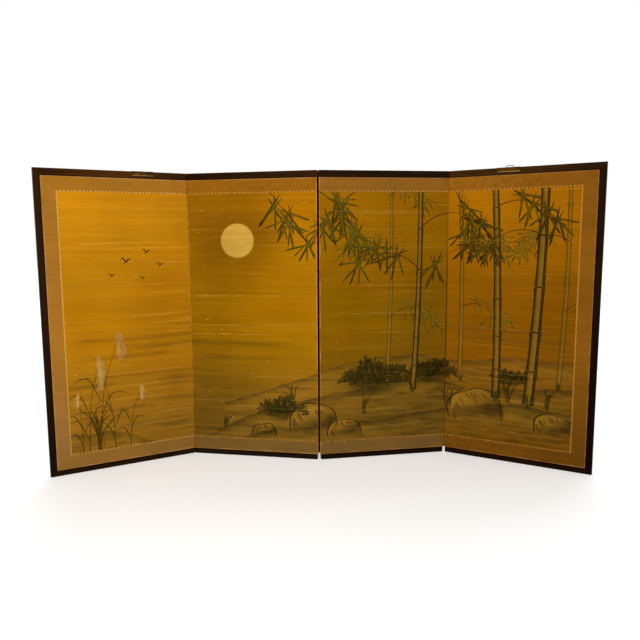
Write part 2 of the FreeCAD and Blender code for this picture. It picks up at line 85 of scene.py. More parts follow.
# tones of each panel's silk, border, edging and lacquer, and how they fade from its left to its right edge:
# painted light and shade, each panel lighter or darker by how it faces the light, lighter at the top than at
# the foot (on the silk partly the picture's own wash), with the fade a painted falloff of light and on the
# top rails a painted sheen
SILK_TOP = by_panel((211, 140, 14), (166, 107, 0), (148, 97, 0), (170, 106, 0))
SILK_MIDDLE = by_panel((190, 126, 8), (160, 108, 0), (128, 87, 0), (137, 84, 0))
SILK_FOOT = by_panel((154, 106, 26), (112, 80, 20), (96, 69, 16), (110, 71, 6))
SILK_LIGHT_FALLOFF = {1: (1.04, 0.86), 2: (0.84, 1.18), 3: (1.14, 0.88), 4: (1.04, 0.9)}
BORDER_TOP = by_panel((169, 112, 30), (150, 93, 12), (138, 90, 26), (144, 88, 16))
BORDER_FOOT = by_panel((147, 104, 44), (120, 89, 40), (112, 81, 38), (108, 67, 9))
BORDER_LIGHT_FALLOFF = {1: (1.07, 0.92), 2: (0.98, 1.03), 3: (1.1, 0.95), 4: (1.1, 0.86)}
SIDE_TINT = {"left": (1.02, 1.04, 1.45, 1.0), "right": (1.0, 1.08, 1.12, 1.0)}
BORDER_FIGURE = by_panel((186, 132, 52), (170, 116, 30), (160, 112, 42), (166, 108, 30))
FIGURE_SHARE = {1: 0.34, 2: 0.36, 3: 0.34, 4: 0.75}
# painted highlight along each border's rim
BORDER_RIM = by_panel((204, 152, 92), (192, 140, 78), (172, 120, 70), (170, 120, 62))
EDGING_TONE = by_panel((234, 182, 88), (206, 150, 62), (196, 142, 62), (202, 142, 58))
# painted shade: the lacquer of the top rails is lighter than that of the bottom rails, and the stiles darken
# from top to foot
LACQUER_TOP = by_panel((75, 43, 12), (42, 23, 6), (30, 16, 5), (59, 35, 11))
LACQUER_FOOT = by_panel((33, 18, 5), (27, 18, 10), (22, 11, 3), (26, 13, 4))
# painted sheen along the top rails
TOP_RAIL_PAINTED_SHEEN = {1: (0.45, 0.42), 2: (0.62, 1.35), 3: (1.45, 0.8), 4: (1.1, 0.42)}
STILE_TOP = {1: srgb(46, 28, 12), 4: srgb(31, 17, 6)}
STILE_FOOT = {1: srgb(26, 14, 7), 4: srgb(14, 4, 2)}
LACQUER_WORN = srgb(104, 62, 26)
# painted shade along the inner arris of the lacquer
ARRIS_PAINTED_SHADE = srgb(26, 4, 0)
# pale lines along the folds, partly wear and partly painted highlight on the folded edges
FOLD_EDGE_WEAR_AND_HIGHLIGHT = {"a": srgb(216, 150, 40), "b": srgb(206, 158, 88), "c": srgb(168, 116, 34)}
SILK_FOLD_WEAR_AND_HIGHLIGHT = {"a": 0.5, "b": 0.72, "c": 0.25}
BROCADE_FOLD_WEAR_AND_HIGHLIGHT = {"a": 0.1, "b": 0.72, "c": 0.25}
HINGE_TONE = srgb(44, 12, 2)
HINGE_GROOVE = srgb(112, 50, 6)
HINGE_WORN = {"a": srgb(200, 138, 34), "c": srgb(172, 114, 22)}
BACK_TONE = srgb(54, 49, 35)
BACK_FIGURE = srgb(98, 83, 49)
# painted highlight on the foot of a hanger's lip
BRASS_LIP_HIGHLIGHT = srgb(122, 92, 54)
SLUB_LIGHT = srgb(96, 74, 36)
NAIL_BRIGHT, NAIL_DULL = srgb(92, 78, 66), srgb(46, 36, 28)
RING_BRIGHT, RING_DULL = srgb(48, 34, 28), srgb(26, 18, 14)
BRASS_BRIGHT, BRASS_DULL = srgb(78, 50, 14), srgb(50, 30, 8)
PAPER_DARK, PAPER_LIGHT = srgb(196, 180, 146), srgb(222, 208, 176)
CEDAR_EARLY, CEDAR_LATE = srgb(206, 172, 122), srgb(168, 126, 80)
SILK_GLOSS = (1.0, 0.75, 0.35, 1.0)
BROCADE_GLOSS = (1.0, 0.85, 0.6, 1.0)
LACQUER_GLOSS = (1.0, 0.8, 0.55, 1.0)

LEAF_DARK = srgb(36, 30, 5)
LEAF_NEAR = srgb(52, 48, 8)
LEAF_MID = srgb(82, 74, 14)
LEAF_FAR = srgb(124, 98, 20)
TWIG_INK = srgb(82, 44, 12)
STALK_INK = srgb(128, 94, 24)
STALK_SHADE = srgb(56, 42, 10)
FAR_STALK_INK = srgb(140, 102, 24)
FAR_STALK_SHADE = srgb(104, 76, 18)
ROCK_INK = srgb(46, 32, 10)
PLUME_INK = srgb(222, 176, 96)
BIRD_INK = srgb(44, 30, 8)
WATER_INK = srgb(92, 66, 22)
MIST_WASH = srgb(98, 66, 14)
BANK_SHADE = srgb(58, 42, 12)
BANK_LIGHT = srgb(150, 108, 32)
BUSH_SHADE = srgb(48, 40, 8)
MOON_LIGHT = srgb(222, 176, 76)
DUSK_WASH = srgb(112, 72, 6)

# between two panels that lie in one line
FOLD_GAP = 1.2 * MM

# threads and figures of the cloths and papers, and the width of their wear and of the painted highlights
# along rims and folds
SILK_THREAD = 0.7 * MM
BROCADE_THREAD = 0.9 * MM
COTTON_THREAD = 0.6 * MM
RINGS_PITCH = 15 * MM
WAVES_PITCH = 52 * MM
BEAD_PITCH = 11 * MM
FOLD_WEAR_AND_HIGHLIGHT_WIDTH = 2.6 * MM
RIM_HIGHLIGHT_WIDTH = 3.2 * MM
LACQUER_CHIP = 0.8 * MM

# radius of a linked ring and height of a row of waves, in cells of their net
LINKED_RING = 0.48
WAVE_ROW = 0.25
ARCS_PER_CELL = 6.0

# cells of the sheets' fronts
BORDER_CELL = 20 * MM
SILK_CELL = 3 * MM

# stitches of the braid, as shares of its width
STITCH_PITCH = 0.62
STITCH_LENGTH = 0.84
STITCH_WIDTH = 0.36
STITCH_ROW = 0.22
STITCH_LEAN = math.radians(38)

# lining of a hinge cloth, out of its panel's edge and along the depth of the fold
CREASE_REACH = 0.55 * MM
LINING_WIDTH = 0.55 * MM
LINING_START = 0.65 * MM
LINING_END = 2.1 * MM

# brushwork: thickness of the film, its lowest level, and the steps between layers and within one
FILM = 0.06 * MM
FILM_LEVEL = 0.04 * MM
LAYER_STEP = 0.012 * MM
LAYER_FILLED = 0.8
ORDER_STEPS = 97
STROKE_MARGIN = 30 * MM
LEAF_MARGIN = 90 * MM
LEAF_BOW = 0.8
LEAF_STATIONS = 8

# forms of the picture, in millimetres and counts
PICTURE_SEED = 41
STALK_SWAY = 6.0
STALK_TAPER = 0.28
PLUME_HAIRS = 30
ROCK_STROKES = 12
BUSH_DENSITY = 0.045
RIPPLE_STEP = 9
NOISE_CELLS = 96


# Panels

def mesh_points(mesh):
    """The points of a mesh, one row each."""
    points = np.empty(len(mesh.vertices) * 3)
    mesh.vertices.foreach_get("co", points)
    return points.reshape(-1, 3)


class Panel:
    """One panel: its own frame, its place on the unfolded screen, and its painted part."""

    def __init__(self, number, heading, start):
        """A panel turned by heading; start is where its left edge lies on the unfolded screen."""
        self.number = number
        self.name = f"panel_{number}"
        self.start = start
        self.turn = Matrix.Rotation(heading, 4, "Z")
        self.origin = Vector((0, 0, 0))
        self.outer_side = {1: "left", 4: "right"}.get(number, "")
        self.left_fold = {2: "a", 3: "b", 4: "c"}.get(number, "")
        self.right_fold = {1: "a", 2: "b", 3: "c"}.get(number, "")
        edge_pieces = ["core_frame", "outer_stile"] if self.outer_side else ["core_frame"]
        self.origin = Vector((
            min(self.box(piece)[0].x for piece in edge_pieces),
            self.box("top_rail")[0].y,
            0,
        ))
        self.width = max(self.box(piece)[1].x for piece in edge_pieces)
        self.matrix = self.turn @ Matrix.Translation(self.origin)

    def node_points(self, piece):
        """The points of one of the panel's nodes, turned so that x runs along the panel."""
        return mesh_points(frame["nodes"][f"{self.name}_{piece}"].data) @ np.array(self.turn.to_3x3())

    def box(self, piece):
        """Lowest and highest corner of one of the panel's nodes, in the panel's own frame."""
        points = self.node_points(piece)
        return Vector(points.min(0)) - self.origin, Vector(points.max(0)) - self.origin

    def outer_x(self, piece):
        """Where a node ends on the panel's outer side."""
        low, high = self.box(piece)
        return low.x if self.outer_side == "left" else high.x


def make_panels():
    """The four panels. How far folds a and b are from lying flat gives their headings."""
    limits = {joint["name"]: joint.get("range_deg") for joint in frame["joints"]}
    inner = math.radians(-limits["fold_b"][0] / 2)
    outer = math.radians(-limits["fold_a"][0]) - inner
    panels, start = [], 0.0
    for number, heading in enumerate((outer, -inner, inner, -outer), start=1):
        panels.append(Panel(number, heading, start))
        start += panels[-1].width + FOLD_GAP
    return panels


PANELS = make_panels()


# Node trees

class Tree:
    """Adds nodes to a node tree and links them."""

    def __init__(self, tree):
        self.tree = tree

    def add(self, kind, inputs=(), **settings):
        """A new node with its settings, and its inputs by name or number."""
        node = self.tree.nodes.new(kind)
        for name, value in settings.items():
            setattr(node, name, value)
        for name, value in dict(inputs).items():
            self.feed(node.inputs[name], value)
        return node

    def made(self, kind, inputs=(), **settings):
        """The first output of a new node."""
        return self.add(kind, inputs, **settings).outputs[0]

    def feed(self, socket, value):
        """Links a socket to another one, or sets it to a plain value."""
        if isinstance(value, bpy.types.NodeSocket):
            self.tree.links.new(value, socket)
        else:
            socket.default_value = value

    def math(self, operation, a, b=0.0):
        return self.made("ShaderNodeMath", {0: a, 1: b}, operation=operation)

    def plus(self, a, b):
        return self.math("ADD", a, b)

    def minus(self, a, b):
        return self.math("SUBTRACT", a, b)

    def product(self, first, *others):
        """All the values times each other."""
        for value in others:
            first = self.math("MULTIPLY", first, value)
        return first

    def gap(self, a, b):
        """How far apart two values are."""
        return self.math("ABSOLUTE", self.minus(a, b))

    def radius(self, u, v):
        """How far the point (u, v) lies from the middle."""
        return self.math("SQRT", self.plus(self.product(u, u), self.product(v, v)))

    def vector(self, operation, a, b=(0, 0, 0)):
        return self.made("ShaderNodeVectorMath", {0: a, 1: b}, operation=operation)

    def scale(self, vector, factor):
        return self.made("ShaderNodeVectorMath", {0: vector, "Scale": factor}, operation="SCALE")

    def split(self, vector):
        return self.add("ShaderNodeSeparateXYZ", {0: vector}).outputs

    def join(self, x=0.0, y=0.0, z=0.0):
        return self.made("ShaderNodeCombineXYZ", {0: x, 1: y, 2: z})

    def ease(self, value, low, high, start=0.0, end=1.0):
        """Goes smoothly from start to end as value goes from low to high."""
        inputs = {0: value, 1: low, 2: high, 3: start, 4: end}
        return self.made("ShaderNodeMapRange", inputs, interpolation_type="SMOOTHSTEP")

    def noise(self, vector, scale=1.0, detail=2.0, roughness=0.5):
        inputs = {"Vector": vector, "Scale": scale, "Detail": detail, "Roughness": roughness}
        return self.made("ShaderNodeTexNoise", inputs)

    def mix(self, factor, a, b, blend="MIX"):
        """Goes from colour a to colour b, or blends b into a, as factor goes from 0 to 1."""
        inputs = {0: factor, 6: a, 7: b}
        return self.add("ShaderNodeMix", inputs, data_type="RGBA", blend_type=blend).outputs[2]

    def group(self, name, **inputs):
        """The outputs of one of the shader groups below, with its inputs given by name."""
        node = self.add("ShaderNodeGroup", node_tree=bpy.data.node_groups[name])
        for socket, value in inputs.items():
            self.feed(node.inputs[socket.replace("_", " ").capitalize()], value)
        return node.outputs


def shader_group(name, inputs, outputs):
    """An empty shader group with named sockets: its tree, what it is given and what it puts out."""
    tree = bpy.data.node_groups.new(name, "ShaderNodeTree")
    for socket, (kind, value) in inputs.items():
        made = tree.interface.new_socket(socket, in_out="INPUT", socket_type=f"NodeSocket{kind}")
        if value is not None:
            made.default_value = value
    for socket, kind in outputs.items():
        tree.interface.new_socket(socket, in_out="OUTPUT", socket_type=f"NodeSocket{kind}")
    t = Tree(tree)
    return t, t.add("NodeGroupInput").outputs, t.add("NodeGroupOutput").inputs


def build_weave_group():
    """Plain weave: warp threads up, weft threads across, each a little uneven."""
    t, given, out = shader_group(
        "plain_weave",
        {"Place": ("Vector", None), "Thread": ("Float", 0.0006)},
        {"Height": "Float", "Shade": "Float"},
    )
    u, v, _ = t.split(given["Place"])
    wander = t.noise(given["Place"], scale=90.0, detail=1.0)
    frequency = t.math("DIVIDE", math.pi, given["Thread"])
    across = t.plus(t.product(v, frequency), t.product(wander, 2.4))
    up = t.plus(t.product(u, t.product(frequency, 1.3)), wander)
    weft = t.math("ABSOLUTE", t.math("SINE", across))
    warp = t.math("ABSOLUTE", t.math("SINE", up))
    height = t.product(weft, t.plus(t.product(warp, 0.45), 0.55))
    t.feed(out["Height"], height)
    t.feed(out["Shade"], t.ease(height, 0.0, 1.0, 0.86, 1.06))


def build_slub_group():
    """Slubs, thick places of the weft: long pale streaks, and short bright flecks here and there."""
    t, given, out = shader_group(
        "weft_slubs",
        {"Place": ("Vector", None), "Seed": ("Float", 0.0)},
        {"Streaks": "Float", "Flecks": "Float", "Bands": "Float", "Drift": "Float"},
    )
    u, v, _ = t.split(given["Place"])

    def stretched(along, up, detail=0.0):
        place = t.join(t.product(u, along), t.product(v, up), given["Seed"])
        return t.noise(place, detail=detail)

    long_streaks = t.ease(stretched(2.4, 150.0), 0.66, 0.78)
    thin_streaks = t.ease(stretched(7.0, 330.0), 0.6, 0.78, 0.0, 0.5)
    broken = t.ease(stretched(30.0, 260.0, 1.0), 0.4, 0.62, 0.35, 1.0)
    streaks = t.math("MAXIMUM", long_streaks, thin_streaks)
    t.feed(out["Streaks"], t.product(streaks, broken))
    t.feed(out["Flecks"], t.ease(stretched(64.0, 260.0), 0.83, 0.88))
    bands = t.plus(stretched(1.6, 190.0, 2.0), stretched(0.8, 34.0, 1.0))
    t.feed(out["Bands"], t.ease(bands, 0.6, 1.4, 0.91, 1.08))
    t.feed(out["Drift"], t.ease(stretched(2.6, 11.0, 1.0), 0.35, 0.65))


def build_wear_group():
    """A pale line along an edge, broken and uneven, from the distance to that edge: wear where lacquer is
    chipped, a painted highlight along the border's rim, and both along the folds.
    """
    t, given, out = shader_group(
        "worn_line",
        {"Distance": ("Float", 1.0), "Width": ("Float", 0.002), "Place": ("Vector", None)},
        {"Wear": "Float"},
    )
    patchy = t.noise(given["Place"], scale=14.0, detail=3.0, roughness=0.65)
    reach = t.product(given["Width"], t.ease(patchy, 0.35, 0.65, 0.25, 1.35))
    share = t.math("DIVIDE", given["Distance"], reach)
    fine = t.noise(given["Place"], scale=240.0, detail=2.0)
    fade = t.ease(t.plus(share, t.product(fine, 0.5)), 0.7, 1.3, 1.0, 0.0)
    t.feed(out["Wear"], fade)


def build_age_group():
    """Slow change of tone with age: soft blotches and a fine grain of dust."""
    t, given, out = shader_group("age_tone", {"Place": ("Vector", None)}, {"Tone": "Float"})
    blotches = t.ease(t.noise(given["Place"], scale=7.0, detail=3.0), 0.3, 0.7, 0.93, 1.06)
    dust = t.ease(t.noise(given["Place"], scale=900.0, detail=1.0), 0.3, 0.7, 0.96, 1.04)
    t.feed(out["Tone"], t.product(blotches, dust))


def build_linked_rings_group():
    """Linked rings, a common textile figure: two square nets of circles, one set between the other."""
    t, given, out = shader_group(
        "linked_rings",
        {"Place": ("Vector", None), "Pitch": ("Float", 0.01), "Line": ("Float", 0.07)},
        {"Figure": "Float"},
    )
    cells = t.scale(given["Place"], t.math("DIVIDE", 1.0, given["Pitch"]))
    lines = 0.0
    for shift in (0.0, 0.5):
        moved = t.vector("ADD", cells, (shift, shift, 0.0))
        centred = t.vector("SUBTRACT", t.vector("FRACTION", moved), (0.5, 0.5, 0.0))
        u, v, _ = t.split(centred)
        ring = t.ease(t.gap(t.radius(u, v), LINKED_RING), 0.0, given["Line"], 1.0, 0.0)
        lines = t.math("MAXIMUM", ring, lines)
    t.feed(out["Figure"], lines)


def build_waves_group():
    """Rows of wave arcs, each in front of the row above it: a common printed figure for backing paper."""
    t, given, out = shader_group(
        "wave_rows",
        {"Place": ("Vector", None), "Pitch": ("Float", 0.03)},
        {"Figure": "Float"},
    )
    u, v, _ = t.split(t.scale(given["Place"], t.math("DIVIDE", 1.0, given["Pitch"])))
    base_row = t.math("FLOOR", t.math("DIVIDE", v, WAVE_ROW))
    figure, open_part = 0.0, 1.0
    for rows_down in (1, 0):
        row = t.minus(base_row, float(rows_down))
        half_step = t.product(t.math("MODULO", row, 2.0), 0.5)
        across = t.minus(t.math("FRACT", t.plus(u, half_step)), 0.5)
        up = t.minus(v, t.product(row, WAVE_ROW))
        radius = t.radius(across, up)
        arcs = t.gap(t.math("FRACT", t.product(radius, ARCS_PER_CELL)), 0.5)
        line = t.ease(arcs, 0.3, 0.44)
        inside = t.math("LESS_THAN", radius, 0.5)
        figure = t.plus(t.product(line, inside, open_part), figure)
        open_part = t.product(t.minus(1.0, inside), open_part)
    t.feed(out["Figure"], figure)


def build_grain_group():
    """Straight wood grain along x, with darker late wood."""
    t, given, out = shader_group("wood_grain", {"Place": ("Vector", None)}, {"Grain": "Float"})
    stretched = t.vector("MULTIPLY", given["Place"], (4.0, 120.0, 120.0))
    rings = t.noise(stretched, detail=3.0, roughness=0.6)
    t.feed(out["Grain"], t.ease(rings, 0.35, 0.65))


for build_group in (
    build_weave_group,
    build_slub_group,
    build_wear_group,
    build_age_group,
    build_linked_rings_group,
    build_waves_group,
    build_grain_group,
):
    build_group()


def new_material(name):
    """A new material and its node tree."""
    material = bpy.data.materials.new(name)
    material.use_nodes = True
    return material, Tree(material.node_tree)


def finish(t, colour, roughness, relief=None, depth=0.0, **values):
    """Ends a material: its colour, roughness and relief, and other values, such as Metallic, by name."""
    sockets = t.tree.nodes["Principled BSDF"].inputs
    t.feed(sockets["Base Color"], colour)
    t.feed(sockets["Roughness"], roughness)
    for name, value in values.items():
        sockets[name.replace("_", " ")].default_value = value
    if relief is not None:
        bump = t.made("ShaderNodeBump", {"Height": relief, "Distance": depth, "Strength": 1.0})
        t.feed(sockets["Normal"], bump)


def panel_place(t, panel):
    """Object coordinates turned into the panel's own frame."""
    place = t.add("ShaderNodeTexCoord").outputs["Object"]
    inverse = panel.matrix.inverted()
    inputs = {0: place, "Location": inverse.to_translation(), "Rotation": inverse.to_euler()}
    return t.made("ShaderNodeMapping", inputs, vector_type="POINT")


def cloth_place(t):
    """The place on a sheet: the panel's own x and z, from the map "cloth"."""
    return t.made("ShaderNodeUVMap", uv_map="cloth")


def scaled(t, colour, tone):
    """A colour made lighter or darker by a tone around 1."""
    return t.vector("MULTIPLY", colour, t.join(tone, tone, tone))


def worn_and_lit_at_folds(t, panel, u, place, colour, worn, fade):
    """The colour of cloth that is pale along its panel's folds, partly worn and partly with a painted
    highlight on the folded edge, most at b, whose edges stand out.
    """
    for fold, distance in ((panel.left_fold, u), (panel.right_fold, t.minus(panel.width, u))):
        if fold:
            wear = t.group("worn_line", distance=distance, width=FOLD_WEAR_AND_HIGHLIGHT_WIDTH, place=place)["Wear"]
            wear = t.product(wear, t.product(fade, worn[fold]))
            colour = t.mix(wear, colour, FOLD_EDGE_WEAR_AND_HIGHLIGHT[fold])
    return colour


def painted_silk(panel):
    """Amber silk with its slubs, washes and ink, pale along the fold edges from wear and a painted
    highlight, in tones that carry painted light and shade.
    """
    material, t = new_material(f"{panel.name}_painted_silk")
    place = cloth_place(t)
    u, v, _ = t.split(place)
    low, high = panel.box("silk_picture")
    middle = (low.z + high.z) / 2
    lower = t.ease(v, low.z, middle)
    upper = t.ease(v, middle, high.z)
    # painted light and shade: each panel's own tones, lighter at the top than at the foot, partly the
    # picture's wash and partly painted shade where the light falls off
    ground = t.mix(lower, SILK_FOOT[panel.number], SILK_MIDDLE[panel.number])
    ground = t.mix(upper, ground, SILK_TOP[panel.number])
    slubs = t.group("weft_slubs", place=place, seed=panel.number * 7.3)
    weave = t.group("plain_weave", place=place, thread=SILK_THREAD)
    age = t.group("age_tone", place=place)["Tone"]
    # painted light: the silk fades from its left to its right edge as the light falls off across the panel
    fade = t.ease(u, 0.0, panel.width, *SILK_LIGHT_FALLOFF[panel.number])
    tone = t.product(slubs["Bands"], weave["Shade"], age, fade)
    wash = t.add("ShaderNodeAttribute", attribute_name="wash")
    ink = t.add("ShaderNodeAttribute", attribute_name="ink")
    for paint in (wash, ink):
        kept = t.mix(paint.outputs["Alpha"], ground, (0, 0, 0, 1))
        ground = t.mix(1.0, kept, paint.outputs["Color"], "ADD")
    drift = t.mix(slubs["Drift"], (1.02, 0.985, 0.9, 1.0), (0.985, 1.015, 1.0, 1.0))
    colour = t.vector("MULTIPLY", scaled(t, ground, tone), drift)
    pale = t.mix(1.0, ground, SLUB_LIGHT, "ADD")
    colour = t.mix(t.product(slubs["Streaks"], 0.6), colour, pale)
    colour = t.mix(slubs["Flecks"], colour, t.mix(1.0, pale, SLUB_LIGHT, "ADD"))
    # the pale fold lines fade towards the foot: painted highlight that falls off with the light
    colour = worn_and_lit_at_folds(t, panel, u, place, colour, SILK_FOLD_WEAR_AND_HIGHLIGHT, t.ease(v, 0.12, 0.36, 0.2, 1.0))
    roughness = t.ease(slubs["Bands"], 0.91, 1.08, 0.62, 0.5)
    relief = t.plus(weave["Height"], t.product(slubs["Streaks"], 2.0))
    finish(t, colour, roughness, relief, 0.05 * MM, Specular_IOR_Level=0.04, Specular_Tint=SILK_GLOSS)
    return material


def brocade(panel):
    """Tan brocade with a small woven figure, a painted highlight along its turned rim, and mitred corners.
    """
    material, t = new_material(f"{panel.name}_brocade")
    place = cloth_place(t)
    u, v, _ = t.split(place)
    weave = t.group("plain_weave", place=place, thread=BROCADE_THREAD)
    rings = t.group("linked_rings", place=place, pitch=RINGS_PITCH, line=0.18)["Figure"]
    patchy = t.ease(t.noise(place, scale=60.0, detail=4.0, roughness=0.75), 0.4, 0.6)
    figure = t.product(rings, patchy, t.ease(v, 0.2, 0.88, 0.3, 1.0))
    age = t.group("age_tone", place=place)["Tone"]
    slubs = t.group("weft_slubs", place=place, seed=panel.number * 3.1)
    # painted light: the border fades from its left to its right edge as the light falls off across the panel
    fade = t.ease(u, 0.0, panel.width, *BORDER_LIGHT_FALLOFF[panel.number])
    tone = t.product(weave["Shade"], age, slubs["Bands"], fade)
    # painted shade: the border darkens from its top towards the foot
    ground = t.mix(t.ease(v, 0.02, 0.4), BORDER_FOOT[panel.number], BORDER_TOP[panel.number])
    from_top = t.minus(panel.box("top_border")[1].z, v)
    from_foot = t.minus(v, panel.box("bottom_border")[0].z)
    from_rail = t.math("MINIMUM", from_top, from_foot)
    if panel.outer_side:
        inwards = t.gap(u, panel.outer_x("side_border"))
        to_mitre = t.minus(inwards, from_rail)
        on_side = t.ease(to_mitre, -0.3 * MM, 0.3 * MM, 1.0, 0.0)
        figure = t.product(figure, t.ease(inwards, 0.03, 0.28, 0.35, 1.0))
        tint = t.mix(on_side, (1.0, 1.0, 1.0, 1.0), SIDE_TINT[panel.outer_side])
        ground = t.vector("MULTIPLY", ground, tint)
    shown = t.product(figure, FIGURE_SHARE[panel.number])
    colour = scaled(t, t.mix(shown, ground, BORDER_FIGURE[panel.number]), tone)
    if panel.outer_side:
        mitre = t.ease(t.math("ABSOLUTE", to_mitre), 0.3 * MM, 1.0 * MM, 0.25, 0.0)
        colour = t.mix(mitre, colour, LACQUER_WORN)
        from_rail = t.math("MINIMUM", from_rail, inwards)
    # painted highlight: a pale line along the rim next to the rails and stile
    rim = t.group("worn_line", distance=from_rail, width=RIM_HIGHLIGHT_WIDTH, place=place)["Wear"]
    colour = t.mix(t.product(rim, 0.66), colour, BORDER_RIM[panel.number])
    # pale along the folds: partly wear, partly painted highlight on the folded edge
    colour = worn_and_lit_at_folds(t, panel, u, place, colour, BROCADE_FOLD_WEAR_AND_HIGHLIGHT, 1.0)
    roughness = t.ease(figure, 0.0, 1.0, 0.78, 0.6)
    relief = t.plus(weave["Height"], t.product(figure, 1.5))
    finish(t, colour, roughness, relief, 0.08 * MM, Specular_IOR_Level=0.05, Specular_Tint=BROCADE_GLOSS)
    return material


def braid(panel):
    """Pale gold braid, whose thread comes to the front in beads and is rubbed away here and there."""
    material, t = new_material(f"{panel.name}_braid")
    place = cloth_place(t)
    u, v, _ = t.split(place)
    wander = t.noise(place, scale=30.0, detail=2.0)
    along = t.plus(t.plus(u, v), t.product(wander, BEAD_PITCH))
    beads = t.math("SINE", t.product(along, 2 * math.pi / BEAD_PITCH))
    worn = t.product(t.noise(place, scale=60.0, detail=3.0, roughness=0.7), 5.0)
    gold = t.ease(t.plus(beads, worn), 1.8, 3.5, 0.06, 1.0)
    if panel.outer_side:
        inwards = t.gap(u, panel.outer_x("edging_strips"))
        gold = t.math("MAXIMUM", gold, t.ease(inwards, 4 * MM, 6 * MM, 0.6, 0.0))
    strand = t.ease(t.noise(place, scale=900.0, detail=1.0), 0.3, 0.7, 0.86, 1.1)
    colour = t.mix(gold, BORDER_TOP[panel.number], EDGING_TONE[panel.number])
    # painted shade: the braid darkens towards the foot
    tone = t.product(strand, t.ease(v, 0.0, 0.5, 0.72, 1.0))
    colour = scaled(t, colour, tone)
    roughness = t.ease(gold, 0.0, 1.0, 0.8, 0.6)
    finish(t, colour, roughness, strand, 0.1 * MM, Specular_IOR_Level=0.06, Specular_Tint=BROCADE_GLOSS)
    return material


def lacquer(panel, bar):
    """Brown-black lacquer over wood, chipped in a few places, with painted shade in dark red along the arris
    by the cloth and towards the foot, and a painted sheen along the top rails.
    """
    material, t = new_material(f"{panel.name}_{bar}_lacquer")
    place = panel_place(t, panel)
    x, y, z = t.split(place)
    low, high = panel.box(bar)
    along, across = (z, x) if bar == "outer_stile" else (x, z)
    inner, outer = {
        "top_rail": (low.z, high.z),
        "bottom_rail": (high.z, low.z),
        "outer_stile": (high.x, low.x) if panel.outer_side == "left" else (low.x, high.x),
    }[bar]
    to_inner, to_outer = t.gap(across, inner), t.gap(across, outer)
    to_arris = t.math("MAXIMUM", t.math("ABSOLUTE", y), t.math("MINIMUM", to_inner, to_outer))
    chipped = t.group("worn_line", distance=to_arris, width=LACQUER_CHIP, place=place)["Wear"]
    grain = t.group("wood_grain", place=t.join(along, across, y))["Grain"]
    age = t.group("age_tone", place=place)["Tone"]
    tone = t.product(age, t.ease(grain, 0.0, 1.0, 0.88, 1.16))
    # painted shade: the stile darkens from top to foot, and the bottom rail is darker than the top rail,
    # where the light falls off towards the floor
    if bar == "outer_stile":
        colour = t.mix(t.ease(z, 0.0, 0.9), STILE_FOOT[panel.number], STILE_TOP[panel.number])
    elif bar == "bottom_rail":
        colour = LACQUER_FOOT[panel.number][:3]
    else:
        colour = LACQUER_TOP[panel.number][:3]
        # painted sheen: the top rail lighter or darker along its length, as light falls on it
        at_left, at_right = TOP_RAIL_PAINTED_SHEEN[panel.number]
        left_half = t.ease(x, 0.0, panel.width / 2, at_left, 1.0)
        right_half = t.ease(x, panel.width / 2, panel.width, 1.0, at_right)
        tone = t.product(tone, left_half, right_half)
    colour = scaled(t, colour, tone)
    # painted shade: dark red along the inner arris, where the rail stands proud of the cloth
    colour = t.mix(t.ease(to_inner, 1.5 * MM, 4.5 * MM, 0.8, 0.0), colour, ARRIS_PAINTED_SHADE)
    colour = t.mix(t.product(chipped, 0.25), colour, LACQUER_WORN)
    roughness = t.ease(t.noise(place, scale=30.0, detail=3.0), 0.3, 0.7, 0.36, 0.52)
    finish(t, colour, roughness, grain, 0.03 * MM, Specular_IOR_Level=0.02, Specular_Tint=LACQUER_GLOSS)
    return material


def hinge_cloth(panel, fold):
    """Dark brown cotton, rubbed golden brown in front: fold a all along, fold c at both ends."""
    material, t = new_material(f"{panel.name}_fold_{fold}_cloth")
    place = panel_place(t, panel)
    _, y, z = t.split(place)
    weave = t.group("plain_weave", place=t.join(y, z, 0.0), thread=COTTON_THREAD)
    behind = panel.box("back_paper")[0].y
    in_groove = HINGE_TONE if fold in HINGE_WORN else HINGE_GROOVE
    tone = t.mix(t.ease(y, behind - 1.0 * MM, behind), in_groove, HINGE_TONE)
    colour = scaled(t, tone, weave["Shade"])
    if fold in HINGE_WORN:
        patchy = t.ease(t.noise(place, scale=60.0, detail=3.0), 0.35, 0.6, 0.7, 1.0)
        front = t.ease(y, 0.4 * MM, 1.4 * MM, 1.0, 0.0)
        under_top_rail = t.math("LESS_THAN", z, panel.box("top_rail")[0].z)
        over_bottom_rail = t.math("GREATER_THAN", z, panel.box("bottom_rail")[1].z)
        worn = t.product(front, patchy, t.product(under_top_rail, over_bottom_rail))
        if fold == "c":
            upper_end = t.ease(z, 0.6, 0.72, 0.15, 1.0)
            lower_end = t.ease(z, 0.1, 0.2, 1.0, 0.15)
            worn = t.product(worn, t.math("MAXIMUM", upper_end, lower_end))
        else:
            worn = t.product(worn, t.ease(z, 0.8, 0.86, 1.0, 0.65))
        # painted shade: the front colour darkens towards the foot
        colour = t.mix(worn, colour, scaled(t, HINGE_WORN[fold][:3], t.ease(z, 0.0, 0.6, 0.55, 1.0)))
    roughness = t.ease(weave["Height"], 0.0, 1.0, 0.92, 0.8)
    finish(t, colour, roughness, weave["Height"], 0.08 * MM, Specular_IOR_Level=0.04)
    return material


